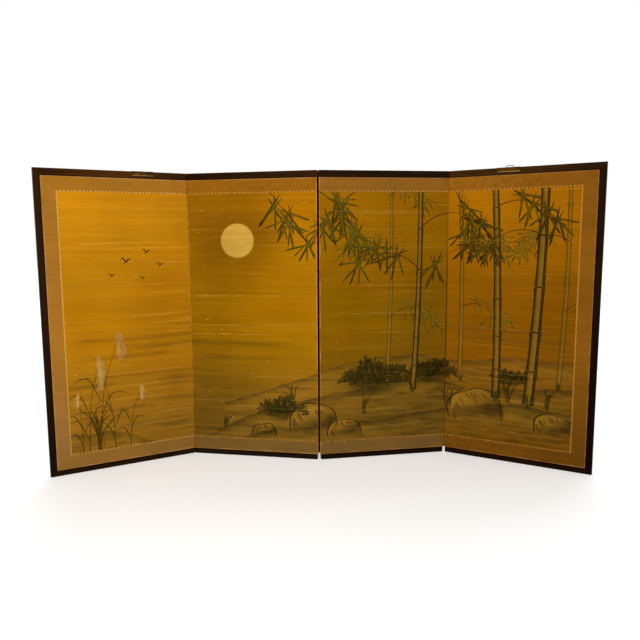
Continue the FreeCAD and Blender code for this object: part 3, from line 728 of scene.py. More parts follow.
def backing_paper(panel):
    """Dark backing paper, printed with rows of wave arcs and scuffed a little."""
    material, t = new_material(f"{panel.name}_backing_paper")
    place = cloth_place(t)
    figure = t.group("wave_rows", place=place, pitch=WAVES_PITCH)["Figure"]
    scuffed = t.ease(t.noise(place, scale=40.0, detail=3.0), 0.3, 0.6, 0.35, 0.9)
    printed = t.product(figure, scuffed)
    fibres = t.noise(t.vector("MULTIPLY", place, (260.0, 60.0, 1.0)), detail=3.0, roughness=0.6)
    age = t.group("age_tone", place=place)["Tone"]
    colour = t.mix(printed, BACK_TONE, BACK_FIGURE)
    tone = t.product(age, t.ease(fibres, 0.3, 0.7, 0.9, 1.12))
    colour = scaled(t, colour, tone)
    roughness = t.ease(fibres, 0.3, 0.7, 0.88, 0.76)
    finish(t, colour, roughness, fibres, 0.06 * MM, Specular_IOR_Level=0.2)
    return material


def plain_paper():
    """Undyed lining paper with short fibres."""
    material, t = new_material("lining_paper")
    place = t.add("ShaderNodeTexCoord").outputs["Object"]
    fibres = t.noise(place, scale=420.0, detail=3.0)
    colour = t.mix(fibres, PAPER_DARK, PAPER_LIGHT)
    roughness = t.ease(fibres, 0.3, 0.7, 0.95, 0.85)
    finish(t, colour, roughness, fibres, 0.05 * MM)
    return material


def cedar(panel):
    """Bare cedar of the core and its lattice."""
    material, t = new_material(f"{panel.name}_cedar")
    grain = t.group("wood_grain", place=panel_place(t, panel))["Grain"]
    colour = t.mix(grain, CEDAR_EARLY, CEDAR_LATE)
    roughness = t.ease(grain, 0.0, 1.0, 0.6, 0.75)
    finish(t, colour, roughness, grain, 0.05 * MM)
    return material


def aged_metal(name, bright, dull, scale, lip_foot=None):
    """Sheet or wire dulled by age, with the bright metal where it is handled, and a painted highlight on the
    foot of a lip.
    """
    material, t = new_material(name)
    place = t.add("ShaderNodeTexCoord").outputs["Object"]
    patina = t.ease(t.noise(place, scale=scale, detail=4.0, roughness=0.6), 0.35, 0.62)
    scratches = t.noise(t.vector("MULTIPLY", place, (60.0, 60.0, 1600.0)), detail=2.0)
    colour = t.mix(patina, bright, dull)
    if lip_foot is not None:
        # painted highlight: bright brass along the foot of the lip, where its lower edge catches the light
        from_foot = t.gap(t.split(place)[2], lip_foot)
        colour = t.mix(t.ease(from_foot, 1.2 * MM, 2.6 * MM, 0.85, 0.0), colour, BRASS_LIP_HIGHLIGHT)
    roughness = t.ease(patina, 0.0, 1.0, 0.34, 0.55)
    finish(t, colour, roughness, scratches, 0.02 * MM, Metallic=1.0)
    return material


# Sheets and strips

def new_object(name, data):
    """A new object in the scene that shows a mesh, or is a camera or a light."""
    made = bpy.data.objects.new(name, data)
    bpy.context.scene.collection.objects.link(made)
    return made


def thin_sheet(name, low, high, cell):
    """A closed thin sheet in a panel's frame, whose front is a fine grid."""
    columns = max(1, round((high.x - low.x) / cell))
    rows = max(1, round((high.z - low.z) / cell))
    across = np.linspace(low.x, high.x, columns + 1)
    up = np.linspace(low.z, high.z, rows + 1)
    grid_x, grid_z = np.meshgrid(across, up)
    front = np.stack([grid_x.ravel(), np.full(grid_x.size, low.y), grid_z.ravel()], 1)
    index = np.arange(front.shape[0]).reshape(rows + 1, columns + 1)
    quads = np.stack([index[:-1, :-1], index[:-1, 1:], index[1:, 1:], index[1:, :-1]], -1).reshape(-1, 4)
    rim = np.concatenate([index[0, :-1], index[:-1, -1], index[-1, :0:-1], index[:0:-1, 0]])
    behind = front[rim] * (1, 0, 1) + (0, high.y, 0)
    behind_index = np.arange(len(rim)) + len(front)
    sides = np.stack([rim, behind_index, np.roll(behind_index, -1), np.roll(rim, -1)], -1)
    faces = quads.tolist() + sides.tolist() + [behind_index[::-1].tolist()]
    mesh = bpy.data.meshes.new(name)
    mesh.from_pydata(np.concatenate([front, behind]).tolist(), [], faces)
    return mesh


def put_on_panel(mesh, panel, slot, material, *nodes):
    """Takes a mesh from the panel's frame to its place, and says what it rides on, is made of and replaces.

    The map "cloth" is the panel's own x and z, in metres.
    """
    corners = np.empty(len(mesh.loops), dtype=np.int32)
    mesh.loops.foreach_get("vertex_index", corners)
    layer = mesh.uv_layers.new(name="cloth")
    layer.data.foreach_set("uv", mesh_points(mesh)[corners][:, (0, 2)].ravel())
    mesh.transform(panel.matrix)
    mesh.materials.clear()
    mesh.materials.append(material)
    piece = new_object(mesh.name, mesh)
    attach(piece, panel.name)
    if nodes:
        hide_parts(*nodes)


def dress_node(name, material):
    """Puts a finish on a CAD node that keeps its own shape."""
    node = frame["nodes"][name]
    node.data.materials.clear()
    node.data.materials.append(material)


def add_block(mesh, middle, size):
    """Adds a box to a bmesh."""
    bmesh.ops.create_cube(mesh, size=1, matrix=Matrix.Translation(middle) @ Matrix.Diagonal((*size, 1)))


def lined_hinge_cloth(panel, node, material):
    """A hinge cloth, with a lining from its panel's edge to the creases that keeps light out."""
    mesh = frame["nodes"][node].data.copy()
    mesh.name = f"{node}_lined"
    mesh.transform(panel.matrix.inverted())
    points = mesh_points(mesh)
    at_left_edge = points[:, 0].mean() < panel.width / 2
    out_of_edge = -points[:, 0] if at_left_edge else points[:, 0] - panel.width
    axis_y = points[out_of_edge > CREASE_REACH, 1].mean()
    inwards = math.copysign(1, panel.box("top_rail")[1].y / 2 - axis_y)
    x = -LINING_WIDTH / 2 if at_left_edge else panel.width + LINING_WIDTH / 2
    y = axis_y + inwards * (LINING_START + LINING_END) / 2
    low, high = points[:, 2].min(), points[:, 2].max()
    lined = bmesh.new()
    lined.from_mesh(mesh)
    add_block(lined, (x, y, (low + high) / 2), (LINING_WIDTH, LINING_END - LINING_START, high - low))
    lined.to_mesh(mesh)
    lined.free()
    put_on_panel(mesh, panel, "hinge_cloth", material, node)


def lip_foot(panel):
    """The height of the lower edge of a hanger's lip, which hangs in front of the rail."""
    points = panel.node_points("hanger")
    in_front = points[:, 1] < panel.origin.y
    return points[in_front, 2].min()


# Geometry Nodes

def geometry_tree(name, inputs):
    """An empty geometry tree with named sockets: its tree, what it is given and what it puts out."""
    tree = bpy.data.node_groups.new(name, "GeometryNodeTree")
    tree.interface.new_socket("Geometry", in_out="INPUT", socket_type="NodeSocketGeometry")
    for socket, kind in inputs.items():
        tree.interface.new_socket(socket, in_out="INPUT", socket_type=f"NodeSocket{kind}")
    tree.interface.new_socket("Geometry", in_out="OUTPUT", socket_type="NodeSocketGeometry")
    t = Tree(tree)
    return t, t.add("NodeGroupInput").outputs, t.add("NodeGroupOutput").inputs


def instances(t, points, piece, turn, size):
    """A piece on each of the points, turned and sized."""
    inputs = {"Points": points, "Instance": piece, "Rotation": turn, "Scale": size}
    return t.made("GeometryNodeInstanceOnPoints", inputs)


def end_tree(t, given, out, geometry):
    """Ends a geometry tree: its instances become plain mesh, in the material given."""
    solid = t.made("GeometryNodeRealizeInstances", {0: geometry})
    dressed = t.made("GeometryNodeSetMaterial", {"Geometry": solid, "Material": given["Material"]})
    t.feed(out[0], dressed)


def grow(seed_mesh, tree_name, inputs):
    """Runs a geometry tree on a mesh and gives back the plain mesh that it makes."""
    holder = new_object(f"{seed_mesh.name}_seed", seed_mesh)
    modifier = holder.modifiers.new(tree_name, "NODES")
    modifier.node_group = bpy.data.node_groups[tree_name]
    identifiers = {item.name: item.identifier for item in modifier.node_group.interface.items_tree
                   if item.in_out == "INPUT"}
    for name, value in inputs.items():
        modifier[identifiers[name]] = value
    bpy.context.view_layer.update()
    evaluated = holder.evaluated_get(bpy.context.evaluated_depsgraph_get())
    mesh = bpy.data.meshes.new_from_object(evaluated)
    bpy.data.objects.remove(holder)
    bpy.data.meshes.remove(seed_mesh)
    return mesh


def line_mesh(name, runs):
    """A mesh of open lines, one for each list of points."""
    points, edges = [], []
    for run in runs:
        first = len(points)
        points += [tuple(point) for point in run]
        edges += [(first + n, first + n + 1) for n in range(len(run) - 1)]
    mesh = bpy.data.meshes.new(name)
    mesh.from_pydata(points, edges, [])
    return mesh


def build_braid_tree():
    """A flat braid along its lines: two rows of plump stitches that lean towards each other."""
    t, given, out = geometry_tree(
        "flat_braid",
        {"Pitch": "Float", "Stitch length": "Float", "Stitch width": "Float", "Stitch relief": "Float",
         "Row offset": "Float", "Lean": "Float", "Material": "Material"},
    )
    lines = t.made("GeometryNodeMeshToCurve", {"Mesh": given["Geometry"]})
    spaced = t.made("GeometryNodeResampleCurve", {"Curve": lines, "Length": given["Pitch"]}, mode="LENGTH")
    tangent = t.made("GeometryNodeInputTangent")
    stitch = t.add("GeometryNodeMeshUVSphere", {"Segments": 8, "Rings": 5, "Radius": 1.0}).outputs["Mesh"]
    half = [t.product(given[name], 0.5) for name in ("Stitch length", "Stitch width")]
    size = t.join(half[0], half[1], given["Stitch relief"])
    rows = t.add("GeometryNodeJoinGeometry")
    for side in (-1.0, 1.0):
        turn = {"Vector": tangent, "Angle": math.pi / 2 * side}
        sideways = t.made("ShaderNodeVectorRotate", turn, rotation_type="Z_AXIS")
        shift = t.scale(sideways, given["Row offset"])
        along = t.scale(tangent, t.product(given["Pitch"], 0.25 * side))
        offset = t.vector("ADD", shift, along)
        turned = t.made("FunctionNodeAlignRotationToVector", {"Vector": tangent}, axis="X")
        angles = t.join(0.0, 0.0, t.product(given["Lean"], side))
        lean = t.made("FunctionNodeEulerToRotation", {0: angles})
        leaning = t.made("FunctionNodeRotateRotation", {0: turned, 1: lean}, rotation_space="LOCAL")
        points = t.made("GeometryNodeSetPosition", {"Geometry": spaced, "Offset": offset})
        t.feed(rows.inputs[0], instances(t, points, stitch, leaning, size))
    end_tree(t, given, out, rows.outputs[0])


build_braid_tree()

# the drawing board lies in x and y: on a panel its y is up and its z comes out of the front
BOARD_TO_PANEL = Matrix(((1, 0, 0, 0), (0, 0, -1, 0), (0, 1, 0, 0), (0, 0, 0, 1)))


def edging(panel, material):
    """The braid between border and picture, over its tape, along the top, the foot and the outer side."""
    low, high = panel.box("edging_strips")
    silk_low = panel.box("silk_picture")[0]
    width = silk_low.z - low.z
    half = width / 2
    left, right, bottom, top = low.x + half, high.x - half, low.z + half, high.z - half
    runs = [[(left, bottom, 0), (right, bottom, 0)], [(left, top, 0), (right, top, 0)]]
    if panel.outer_side:
        outer_x = left if panel.outer_side == "left" else right
        runs.append([(outer_x, bottom, 0), (outer_x, top, 0)])
    stitches = {
        "Pitch": width * STITCH_PITCH,
        "Stitch length": width * STITCH_LENGTH,
        "Stitch width": width * STITCH_WIDTH,
        "Stitch relief": silk_low.y - low.y,
        "Row offset": width * STITCH_ROW,
        "Lean": STITCH_LEAN,
        "Material": material,
    }
    mesh = grow(line_mesh(f"{panel.name}_braid", runs), "flat_braid", stitches)
    mesh.transform(Matrix.Translation((0, silk_low.y, 0)) @ BOARD_TO_PANEL)
    tape = bmesh.new()
    for (x0, z0, _), (x1, z1, _) in runs:
        size = (x1 - x0 + width, high.y - silk_low.y, z1 - z0 + (width if z0 == z1 else 0))
        add_block(tape, ((x0 + x1) / 2, (silk_low.y + high.y) / 2, (z0 + z1) / 2), size)
    tape.from_mesh(mesh)
    tape.to_mesh(mesh)
    tape.free()
    mesh.name = f"{panel.name}_braid_edging"
    put_on_panel(mesh, panel, "edging", material, f"{panel.name}_edging_strips")


def dress_panel(panel):
    """Everything on one panel but its hanger and hinge cloths: cloth, braid, paper, wood and nails."""
    brocade_material = brocade(panel)
    for strip in ["top_border", "bottom_border"] + (["side_border"] if panel.outer_side else []):
        sheet = thin_sheet(f"{panel.name}_{strip}_brocade", *panel.box(strip), BORDER_CELL)
        put_on_panel(sheet, panel, "brocade", brocade_material, f"{panel.name}_{strip}")
    backing = thin_sheet(f"{panel.name}_backing", *panel.box("back_paper"), BORDER_CELL)
    put_on_panel(backing, panel, "back_paper", backing_paper(panel), f"{panel.name}_back_paper")
    edging(panel, braid(panel))
    silk_material = painted_silk(panel)
    silk = thin_sheet(f"{panel.name}_silk", *panel.box("silk_picture"), SILK_CELL)
    lay_washes(silk, panel)
    store_colours(silk, "ink", np.zeros((len(silk.vertices), 4)))
    put_on_panel(silk, panel, "silk", silk_material, f"{panel.name}_silk_picture")
    put_on_panel(brushwork(panel), panel, "silk", silk_material)
    for bar in ["top_rail", "bottom_rail"] + (["outer_stile"] if panel.outer_side else []):
        dress_node(f"{panel.name}_{bar}", lacquer(panel, bar))
    cedar_material = cedar(panel)
    for part in ("core_frame", "core_lattice"):
        dress_node(f"{panel.name}_{part}", cedar_material)
    dress_node(f"{panel.name}_front_lining_paper", LINING_PAPER)
    dress_node(f"{panel.name}_frame_nails", NAIL_IRON)


# Film: crisp brushwork is a thin film on the silk, drawn flat on the board

def stored_value(t, name):
    """A number that the points of the seed mesh carry."""
    return t.made("GeometryNodeInputNamedAttribute", {"Name": name}, data_type="FLOAT")


def swept_film(t, lines, half_width):
    """A closed four-sided bar along lines, as wide as its points say."""
    upright = t.made("GeometryNodeSetCurveNormal", {"Curve": lines}, mode="Z_UP")
    profile = t.made("GeometryNodeCurvePrimitiveCircle", {"Resolution": 4, "Radius": 1.0})
    inputs = {"Curve": upright, "Profile Curve": profile, "Scale": half_width, "Fill Caps": True}
    return t.made("GeometryNodeCurveToMesh", inputs)


def build_brush_tree():
    """Brush lines: a closed thin film along each line, as wide as its points say."""
    t, given, out = geometry_tree("brush_lines", {"Film": "Float", "Material": "Material"})
    lines = t.made("GeometryNodeMeshToCurve", {"Mesh": given["Geometry"]})
    half_width, level = stored_value(t, "half_width"), stored_value(t, "level")
    swept = swept_film(t, lines, half_width)
    x, y, z = t.split(t.made("GeometryNodeInputPosition"))
    share = t.math("DIVIDE", t.minus(z, level), half_width)
    thin = t.plus(t.product(share, t.product(given["Film"], 0.5)), level)
    flat = t.made("GeometryNodeSetPosition", {"Geometry": swept, "Position": t.join(x, y, thin)})
    end_tree(t, given, out, flat)


def build_leaf_tree():
    """Narrow leaves: one pointed leaf, a little bowed, at each point, turned and sized as the point says."""
    t, given, out = geometry_tree(
        "narrow_leaves",
        {"Film": "Float", "Bow": "Float", "Stations": "Int", "Material": "Material"},
    )
    middle = t.made("GeometryNodeCurvePrimitiveLine", {"Start": (0, 0, 0), "End": (1, 0, 0)})
    middle = t.made("GeometryNodeResampleCurve", {"Curve": middle, "Count": given["Stations"]})
    along = t.add("GeometryNodeSplineParameter").outputs["Factor"]
    bow = t.product(t.math("SINE", t.product(along, math.pi)), given["Bow"])
    offset = t.join(0.0, bow, 0.0)
    middle = t.made("GeometryNodeSetPosition", {"Geometry": middle, "Offset": offset})
    bulge = t.math("SINE", t.product(t.math("POWER", along, 0.62), math.pi))
    leaf = swept_film(t, middle, t.math("MAXIMUM", bulge, 0.02))
    roll = t.join(stored_value(t, "roll"), 0.0, 0.0)
    rolled = t.made("FunctionNodeEulerToRotation", {0: roll})
    turn = t.join(0.0, 0.0, stored_value(t, "turn"))
    heading = t.made("FunctionNodeEulerToRotation", {0: turn})
    turns = {0: rolled, 1: heading}
    turned = t.made("FunctionNodeRotateRotation", turns, rotation_space="GLOBAL")
    half_film = t.product(given["Film"], 0.5)
    size = t.join(stored_value(t, "length"), stored_value(t, "half_width"), half_film)
    points = t.made("GeometryNodeMeshToPoints", {"Mesh": given["Geometry"]})
    end_tree(t, given, out, instances(t, points, leaf, turned, size))


build_brush_tree()
build_leaf_tree()


class Drawing:
    """The brush strokes and leaves of the picture, in millimetres over the whole unfolded screen."""

    def __init__(self):
        self.strokes = []
        self.leaves = []

    def level(self, layer, order):
        """The height of a film above the silk, in fine steps that repeat only after many films."""
        return FILM_LEVEL + LAYER_STEP * (layer + (order % ORDER_STEPS) / ORDER_STEPS * LAYER_FILLED)

    def stroke(self, points, half_widths, ink, cover, layer):
        """A brush line through points, with its half width at each."""
        level = self.level(layer, len(self.strokes))
        paint = premultiplied(ink, cover)
        self.strokes.append((np.array(points) * MM, np.array(half_widths) * MM, paint, level))

    def swell(self, points, half_width, ink, cover, layer, **shape):
        """A brush line that swells and thins out."""
        self.stroke(points, swelling(len(points), half_width, **shape), ink, cover, layer)

    def leaf(self, place, turn, length, half_width, ink, cover, layer):
        """A pointed leaf from a place in a direction; every other one bows the other way."""
        level = self.level(layer, len(self.leaves))
        roll = math.pi * (len(self.leaves) % 2)
        sizes = (turn, roll, length * MM, half_width * MM)
        self.leaves.append((np.array(place) * MM, sizes, premultiplied(ink, cover), level))


def premultiplied(ink, cover):
    """A colour times its cover, and the cover."""
    return (*(channel * cover for channel in ink[:3]), cover)


def store_values(mesh, name, values):
    """Gives each point of a mesh a number."""
    layer = mesh.attributes.new(name, "FLOAT", "POINT")
    layer.data.foreach_set("value", np.asarray(values, dtype=np.float32).ravel())


def store_colours(mesh, name, colours):
    """Gives each point of a mesh a colour."""
    layer = mesh.attributes.new(name, "FLOAT_COLOR", "POINT")
    layer.data.foreach_set("color", np.asarray(colours, dtype=np.float32).ravel())


def within(points, low, high, margin):
    """Whether any of the points lies between two corners of the board, give or take a margin."""
    points = np.atleast_2d(points)
    return ((points >= np.array(low) - margin) & (points <= np.array(high) + margin)).all(1).any()


def stroke_films(low, high):
    """The brush lines that reach a part of the board, as one mesh."""
    strokes = [stroke for stroke in DRAWING.strokes if within(stroke[0], low, high, STROKE_MARGIN)]
    mesh = line_mesh("brush_lines", [[(x, y, level) for x, y in points] for points, _, _, level in strokes])
    widths, levels, inks = [], [], []
    for points, half_widths, paint, level in strokes:
        widths += list(half_widths)
        levels += [level] * len(points)
        inks += [paint] * len(points)
    store_values(mesh, "half_width", widths)
    store_values(mesh, "level", levels)
    store_colours(mesh, "ink", inks)
    return grow(mesh, "brush_lines", {"Film": FILM})


def leaf_films(low, high):
    """The leaves that reach a part of the board, as one mesh."""
    leaves = [leaf for leaf in DRAWING.leaves if within(leaf[0], low, high, LEAF_MARGIN)]
    mesh = line_mesh("narrow_leaves", [[(*place, level)] for place, _, _, level in leaves])
    columns = zip(*(sizes for _, sizes, _, _ in leaves))
    for name, values in zip(("turn", "roll", "length", "half_width"), columns):
        store_values(mesh, name, values)
    store_colours(mesh, "ink", [paint for _, _, paint, _ in leaves])
    return grow(mesh, "narrow_leaves", {"Film": FILM, "Bow": LEAF_BOW, "Stations": LEAF_STATIONS})


def brushwork(panel):
    """A panel's part of the drawing: films cut off at the edges of the picture, in the panel's frame."""
    silk_low, silk_high = panel.box("silk_picture")
    low = (silk_low.x + panel.start, silk_low.z)
    high = (silk_high.x + panel.start, silk_high.z)
    films = bmesh.new()
    for mesh in (stroke_films(low, high), leaf_films(low, high)):
        films.from_mesh(mesh)
    for axis in (0, 1):
        for corner, side in ((low, -1), (high, 1)):
            outwards = [0, 0, 0]
            outwards[axis] = side
            whole = films.verts[:] + films.edges[:] + films.faces[:]
            plane = {"plane_co": (*corner, 0), "plane_no": outwards}
            cut = bmesh.ops.bisect_plane(films, geom=whole, dist=1e-7, clear_outer=True, **plane)
            rim = [part for part in cut["geom_cut"] if isinstance(part, bmesh.types.BMEdge)]
            bmesh.ops.holes_fill(films, edges=rim)
    bmesh.ops.recalc_face_normals(films, faces=films.faces)
    mesh = bpy.data.meshes.new(f"{panel.name}_brushwork")
    films.to_mesh(mesh)
    films.free()
    mesh.transform(Matrix.Translation((-panel.start, silk_low.y, 0)) @ BOARD_TO_PANEL)
    lay_washes(mesh, panel)
    return mesh


# Brush forms

def curve_through(points, steps=6):
    """A smooth line through a few points, with some steps between each two."""
    points = [np.array(point, dtype=float) for point in points]
    padded = [2 * points[0] - points[1], *points, 2 * points[-1] - points[-2]]
    line = []
    for before, start, end, after in zip(padded, padded[1:], padded[2:], padded[3:]):
        for step in range(steps):
            share = step / steps
            line.append(0.5 * (
                2 * start + (end - before) * share
                + (2 * before - 5 * start + 4 * end - after) * share**2
                + (3 * start - before - 3 * end + after) * share**3
            ))
    line.append(points[-1])
    return line


def swelling(count, half_width, start=0.15, end=0.0, fullest=0.3):
    """Half widths of a stroke that swells to its fullest and thins out to its end."""
    widths = []
    for n in range(count):
        along = n / (count - 1)
        if along < fullest:
            share = start + (1 - start) * math.sin(along / fullest * math.pi / 2)
        else:
            share = end + (1 - end) * math.cos((along - fullest) / (1 - fullest) * math.pi / 2)
        widths.append(half_width * max(share, 0.03))
    return widths


def pointing(angle):
    """The direction of an angle, as a step of length 1."""
    return np.array((math.cos(angle), math.sin(angle)))


def leaf_spray(drawing, tip, heading, size, inks, layer, dice):
    """A fan of bamboo leaves that hang from the tip of a twig."""
    count = dice.randint(4, 6)
    hanging = math.atan2(math.sin(heading) - 1.6, math.cos(heading))
    for n in range(count):
        spread = n / (count - 1) - 0.5
        turn = hanging + spread * math.radians(dice.uniform(90, 125)) + math.radians(dice.uniform(-8, 8))
        length = size * dice.uniform(0.7, 1.15) * (1.0 - 0.3 * abs(spread))
        start = np.array(tip) + pointing(turn) * size * 0.03
        half_width = length * dice.uniform(0.058, 0.08)
        drawing.leaf(start, turn, length, half_width, dice.choice(inks), dice.uniform(0.76, 0.96), layer)


def twig(drawing, start, heading, length, droop, size, inks, layer, dice):
    """A thin twig that bends down towards its end, with sprays of leaves along it."""
    place, steps = np.array(start, dtype=float), 8
    points = [place]
    for n in range(steps):
        place = place + pointing(heading) * length / steps
        heading = math.atan2(math.sin(heading) - droop / steps, math.cos(heading))
        points.append(place)
    widths = [(0.9 + length * 0.005) * (1 - 0.75 * n / steps) for n in range(steps + 1)]
    drawing.stroke(points, widths, TWIG_INK, 0.88, layer)
    for n in (3, 5, 6, 7, 8):
        if n < steps and dice.random() < 0.25:
            continue
        local = math.atan2(*(points[n] - points[n - 1])[::-1])
        aside = math.radians(dice.uniform(20, 55)) * dice.choice((-1, 1)) if n < steps else 0.0
        end = points[n] + pointing(local + aside) * size * dice.uniform(0.15, 0.5)
        drawing.stroke([points[n], (points[n] + end) / 2, end], [0.9, 0.7, 0.45], TWIG_INK, 0.85, layer)
        leaf_spray(drawing, end, local + aside, size, inks, layer + 1, dice)


def stalk(drawing, foot, top, half_width, ink, shade, cover, layer):
    """A bamboo stalk of segments, each a little wider at its ends; gives the places of its rings."""
    foot, top = np.array(foot, dtype=float), np.array(top, dtype=float)
    total = math.hypot(*(top - foot))
    along = (top - foot) / total
    across = np.array((along[1], -along[0]))
    gap, length, reached, rings = half_width * 0.14, half_width * 4 + 34, 0.0, []

    def on_stalk(distance, side=0.0):
        sway = STALK_SWAY * math.sin(distance / total * math.pi)
        narrowed = half_width * (1 - STALK_TAPER * distance / total)
        return foot + along * distance + across * (sway + side * narrowed)

    while reached < total:
        end = min(reached + length, total)
        run = end - reached - 2 * gap
        stations = [reached + gap + run * share for share in (0, 0.05, 0.25, 0.5, 0.75, 0.95, 1)]
        flare = (0.92, 0.94, 0.86, 0.84, 0.86, 0.96, 1.02)
        widths = [half_width * share * (1 - STALK_TAPER * reached / total) for share in flare]
        drawing.stroke([on_stalk(place) for place in stations], widths, ink, cover, layer)
        for side, share in ((-0.7, 0.2), (0.6, 0.3)):
            edge = [on_stalk(place, side) for place in stations]
            drawing.stroke(edge, [width * share for width in widths], shade, cover, layer + 1)
        if end < total:
            rings.append(on_stalk(end))
            arc = ((-1.1, 1.4), (-0.5, -0.4), (0.5, -0.4), (1.1, 1.4))
            ring = [on_stalk(end + lift, side) for side, lift in arc]
            widths = [half_width * share for share in (0.05, 0.11, 0.11, 0.05)]
            drawing.stroke(ring, widths, shade, min(1.0, cover * 1.1), layer + 2)
        reached, length = end, min(length * 1.12, half_width * 12)
    return rings


def grass(drawing, foot, height, count, lean, ink, cover, layer, dice):
    """A clump of long blades that bend over to both sides; the blades of a small clump are finer."""
    share = min(1.0, 0.35 + height / 200)
    for _ in range(count):
        tall = height * dice.uniform(0.55, 1.1)
        reach = (dice.uniform(-1, 1) + lean) * tall * 0.55
        start = np.array(foot) + (dice.uniform(-9, 9) * share, dice.uniform(-3, 3) * share)
        knee = start + (reach * 0.28, tall * 0.6)
        tip = start + (reach, tall * dice.uniform(0.75, 1.0))
        points = curve_through([start, knee, tip], 5)
        half_width = dice.uniform(1.1, 2.2) * share
        drawing.swell(points, half_width, ink, cover, layer, start=0.3, fullest=0.45)


def reed(drawing, foot, height, lean, layer, dice):
    """A tall grass with long leaves and a feathery plume that hangs to one side."""
    foot = np.array(foot, dtype=float)
    tip = foot + (lean, height)
    stem = curve_through([foot, foot + (lean * 0.25, height * 0.55), tip], 6)
    drawing.stroke(stem, [1.3 - 0.9 * n / (len(stem) - 1) for n in range(len(stem))], TWIG_INK, 0.85, layer)
    side = math.copysign(1, lean)
    plume = height * 0.24
    for n in range(PLUME_HAIRS):
        share = n / (PLUME_HAIRS - 1)
        start = tip + (-lean * 0.4 * share * 0.24, -plume * share * 0.8)
        turn = math.radians(-90 + side * (44 - 26 * share) + dice.uniform(-16, 16))
        length = plume * dice.uniform(0.25, 0.45) * (0.55 + 0.6 * math.sin(share * math.pi))
        drawing.leaf(start, turn, length, 1.0, PLUME_INK, dice.uniform(0.5, 0.85), layer + 1)
    for share, way in ((0.16, -1), (0.3, 1), (0.44, -1)):
        start = foot + (lean * 0.2 * share, height * share)
        rise = start + np.array((way * height * 0.1, height * 0.2))
        droop = start + np.array((way * height * dice.uniform(0.2, 0.3), height * dice.uniform(0.1, 0.2)))
        points = curve_through([start, rise, droop], 5)
        drawing.swell(points, 1.9, LEAF_MID, 0.8, layer, start=0.4)


def rock(drawing, middle, width, height, layer, dice):
    """A rounded rock: a broken contour that is heaviest at its left, and a few texture strokes."""
    outline = []
    for n in range(9):
        angle = math.radians(196 - 212 * n / 8)
        bulge = 1 + dice.uniform(-0.1, 0.12)
        reach = (math.cos(angle) * width / 2 * bulge, math.sin(angle) * height * bulge)
        outline.append(np.array(middle) + reach)
    line = curve_through(outline, 4)
    third = len(line) // 3
    parts = ((line[: third + 2], 2.8), (line[third - 1: 2 * third + 2], 1.6), (line[2 * third - 1:], 2.2))
    for part, weight in parts:
        drawing.swell(part, weight, ROCK_INK, 0.86, layer, start=0.4, end=0.3, fullest=0.4)
    for _ in range(ROCK_STROKES):
        angle = math.radians(dice.uniform(70, 185))
        start = np.array(middle) + (math.cos(angle) * width * 0.42, math.sin(angle) * height * 0.85)
        end = start + (dice.uniform(0.05, 0.18) * width, -dice.uniform(0.25, 0.55) * height)
        points = curve_through([start, (start + end) / 2 + (-2, 0), end], 3)
        half_width = dice.uniform(1.2, 3.0)
        drawing.swell(points, half_width, ROCK_INK, dice.uniform(0.3, 0.6), layer, start=0.3)


def bush(drawing, middle, half_length, height, layer, dice):
    """A low bush of short dabs, densest at its heart and open along its upper edge."""
    for _ in range(int(half_length * height * BUSH_DENSITY)):
        angle = math.radians(dice.uniform(0, 180))
        out = dice.random() ** 0.6
        lobes = 1 + 0.22 * math.sin(angle * 5.0 + half_length)
        reach = (math.cos(angle) * half_length * out, math.sin(angle) * height * out * lobes)
        place = np.array(middle) + reach
        turn = angle + math.radians(dice.uniform(-55, 55))
        length = dice.uniform(8, 17)
        ink = LEAF_DARK if dice.random() < 0.6 else LEAF_NEAR
        drawing.leaf(place, turn, length, length * 0.2, ink, dice.uniform(0.7, 0.95), layer)


def bird(drawing, place, span, tilt, layer):
    """A small bird in flight, seen from afar: two wings and a body."""
    place = np.array(place, dtype=float)
    for side, lift in ((-1, 0.34), (1, 0.24)):
        knee = place + span * np.array((side * 0.24, lift))
        tip = place + span * np.array((side * 0.5, lift * 0.45 + tilt * side))
        points = curve_through([place, knee, tip], 5)
        drawing.swell(points, span * 0.055, BIRD_INK, 0.9, layer, start=0.7, fullest=0.35)
    from_head = ((0.15, 0.03), (0.03, 0.0), (-0.1, -0.05), (-0.2, -0.1))
    body = [place + span * np.array(offset) for offset in from_head]
    drawing.stroke(body, [span * share for share in (0.015, 0.05, 0.035, 0.012)], BIRD_INK, 0.92, layer)


def ripple(drawing, start, length, layer, dice):
    """A long low line of moving water, broken in the middle."""
    points = []
    for n in range(int(length / RIPPLE_STEP) + 1):
        wave = 1.6 * math.sin(n * 0.4) + dice.uniform(-0.3, 0.3)
        points.append(np.array(start) + (RIPPLE_STEP * n, wave))
    half = len(points) // 2
    for part in (points[: half - 1], points[half + 1:]):
        if len(part) > 3:
            half_width = dice.uniform(0.8, 1.4)
            drawing.swell(part, half_width, WATER_INK, 0.6, layer, start=0.1, fullest=0.5)


# The picture: bamboo, rocks and reeds by the water under a full moon, a common theme

# foot, top and half width
FAR_STALKS = [((1088, 236), (1098, 870), 8), ((1332, 250), (1322, 870), 9), ((1632, 250), (1644, 870), 9)]
NEAR_STALKS = [
    ((1176, 214), (1194, 870), 12),
    ((1448, 200), (1430, 870), 15),
    ((1546, 186), (1576, 870), 19),
]
# start, heading in degrees, and length
HANGING_TWIGS = [
    ((846, 862), -28, 190),
    ((1010, 866), -150, 230),
    ((1300, 866), -62, 170),
    ((700, 866), -40, 120),
]
# middle of the foot, width and height
ROCKS = [
    ((846, 112), 156, 66),
    ((948, 88), 112, 44),
    ((1388, 146), 176, 80),
    ((690, 82), 84, 30),
    ((1620, 120), 120, 50),
]
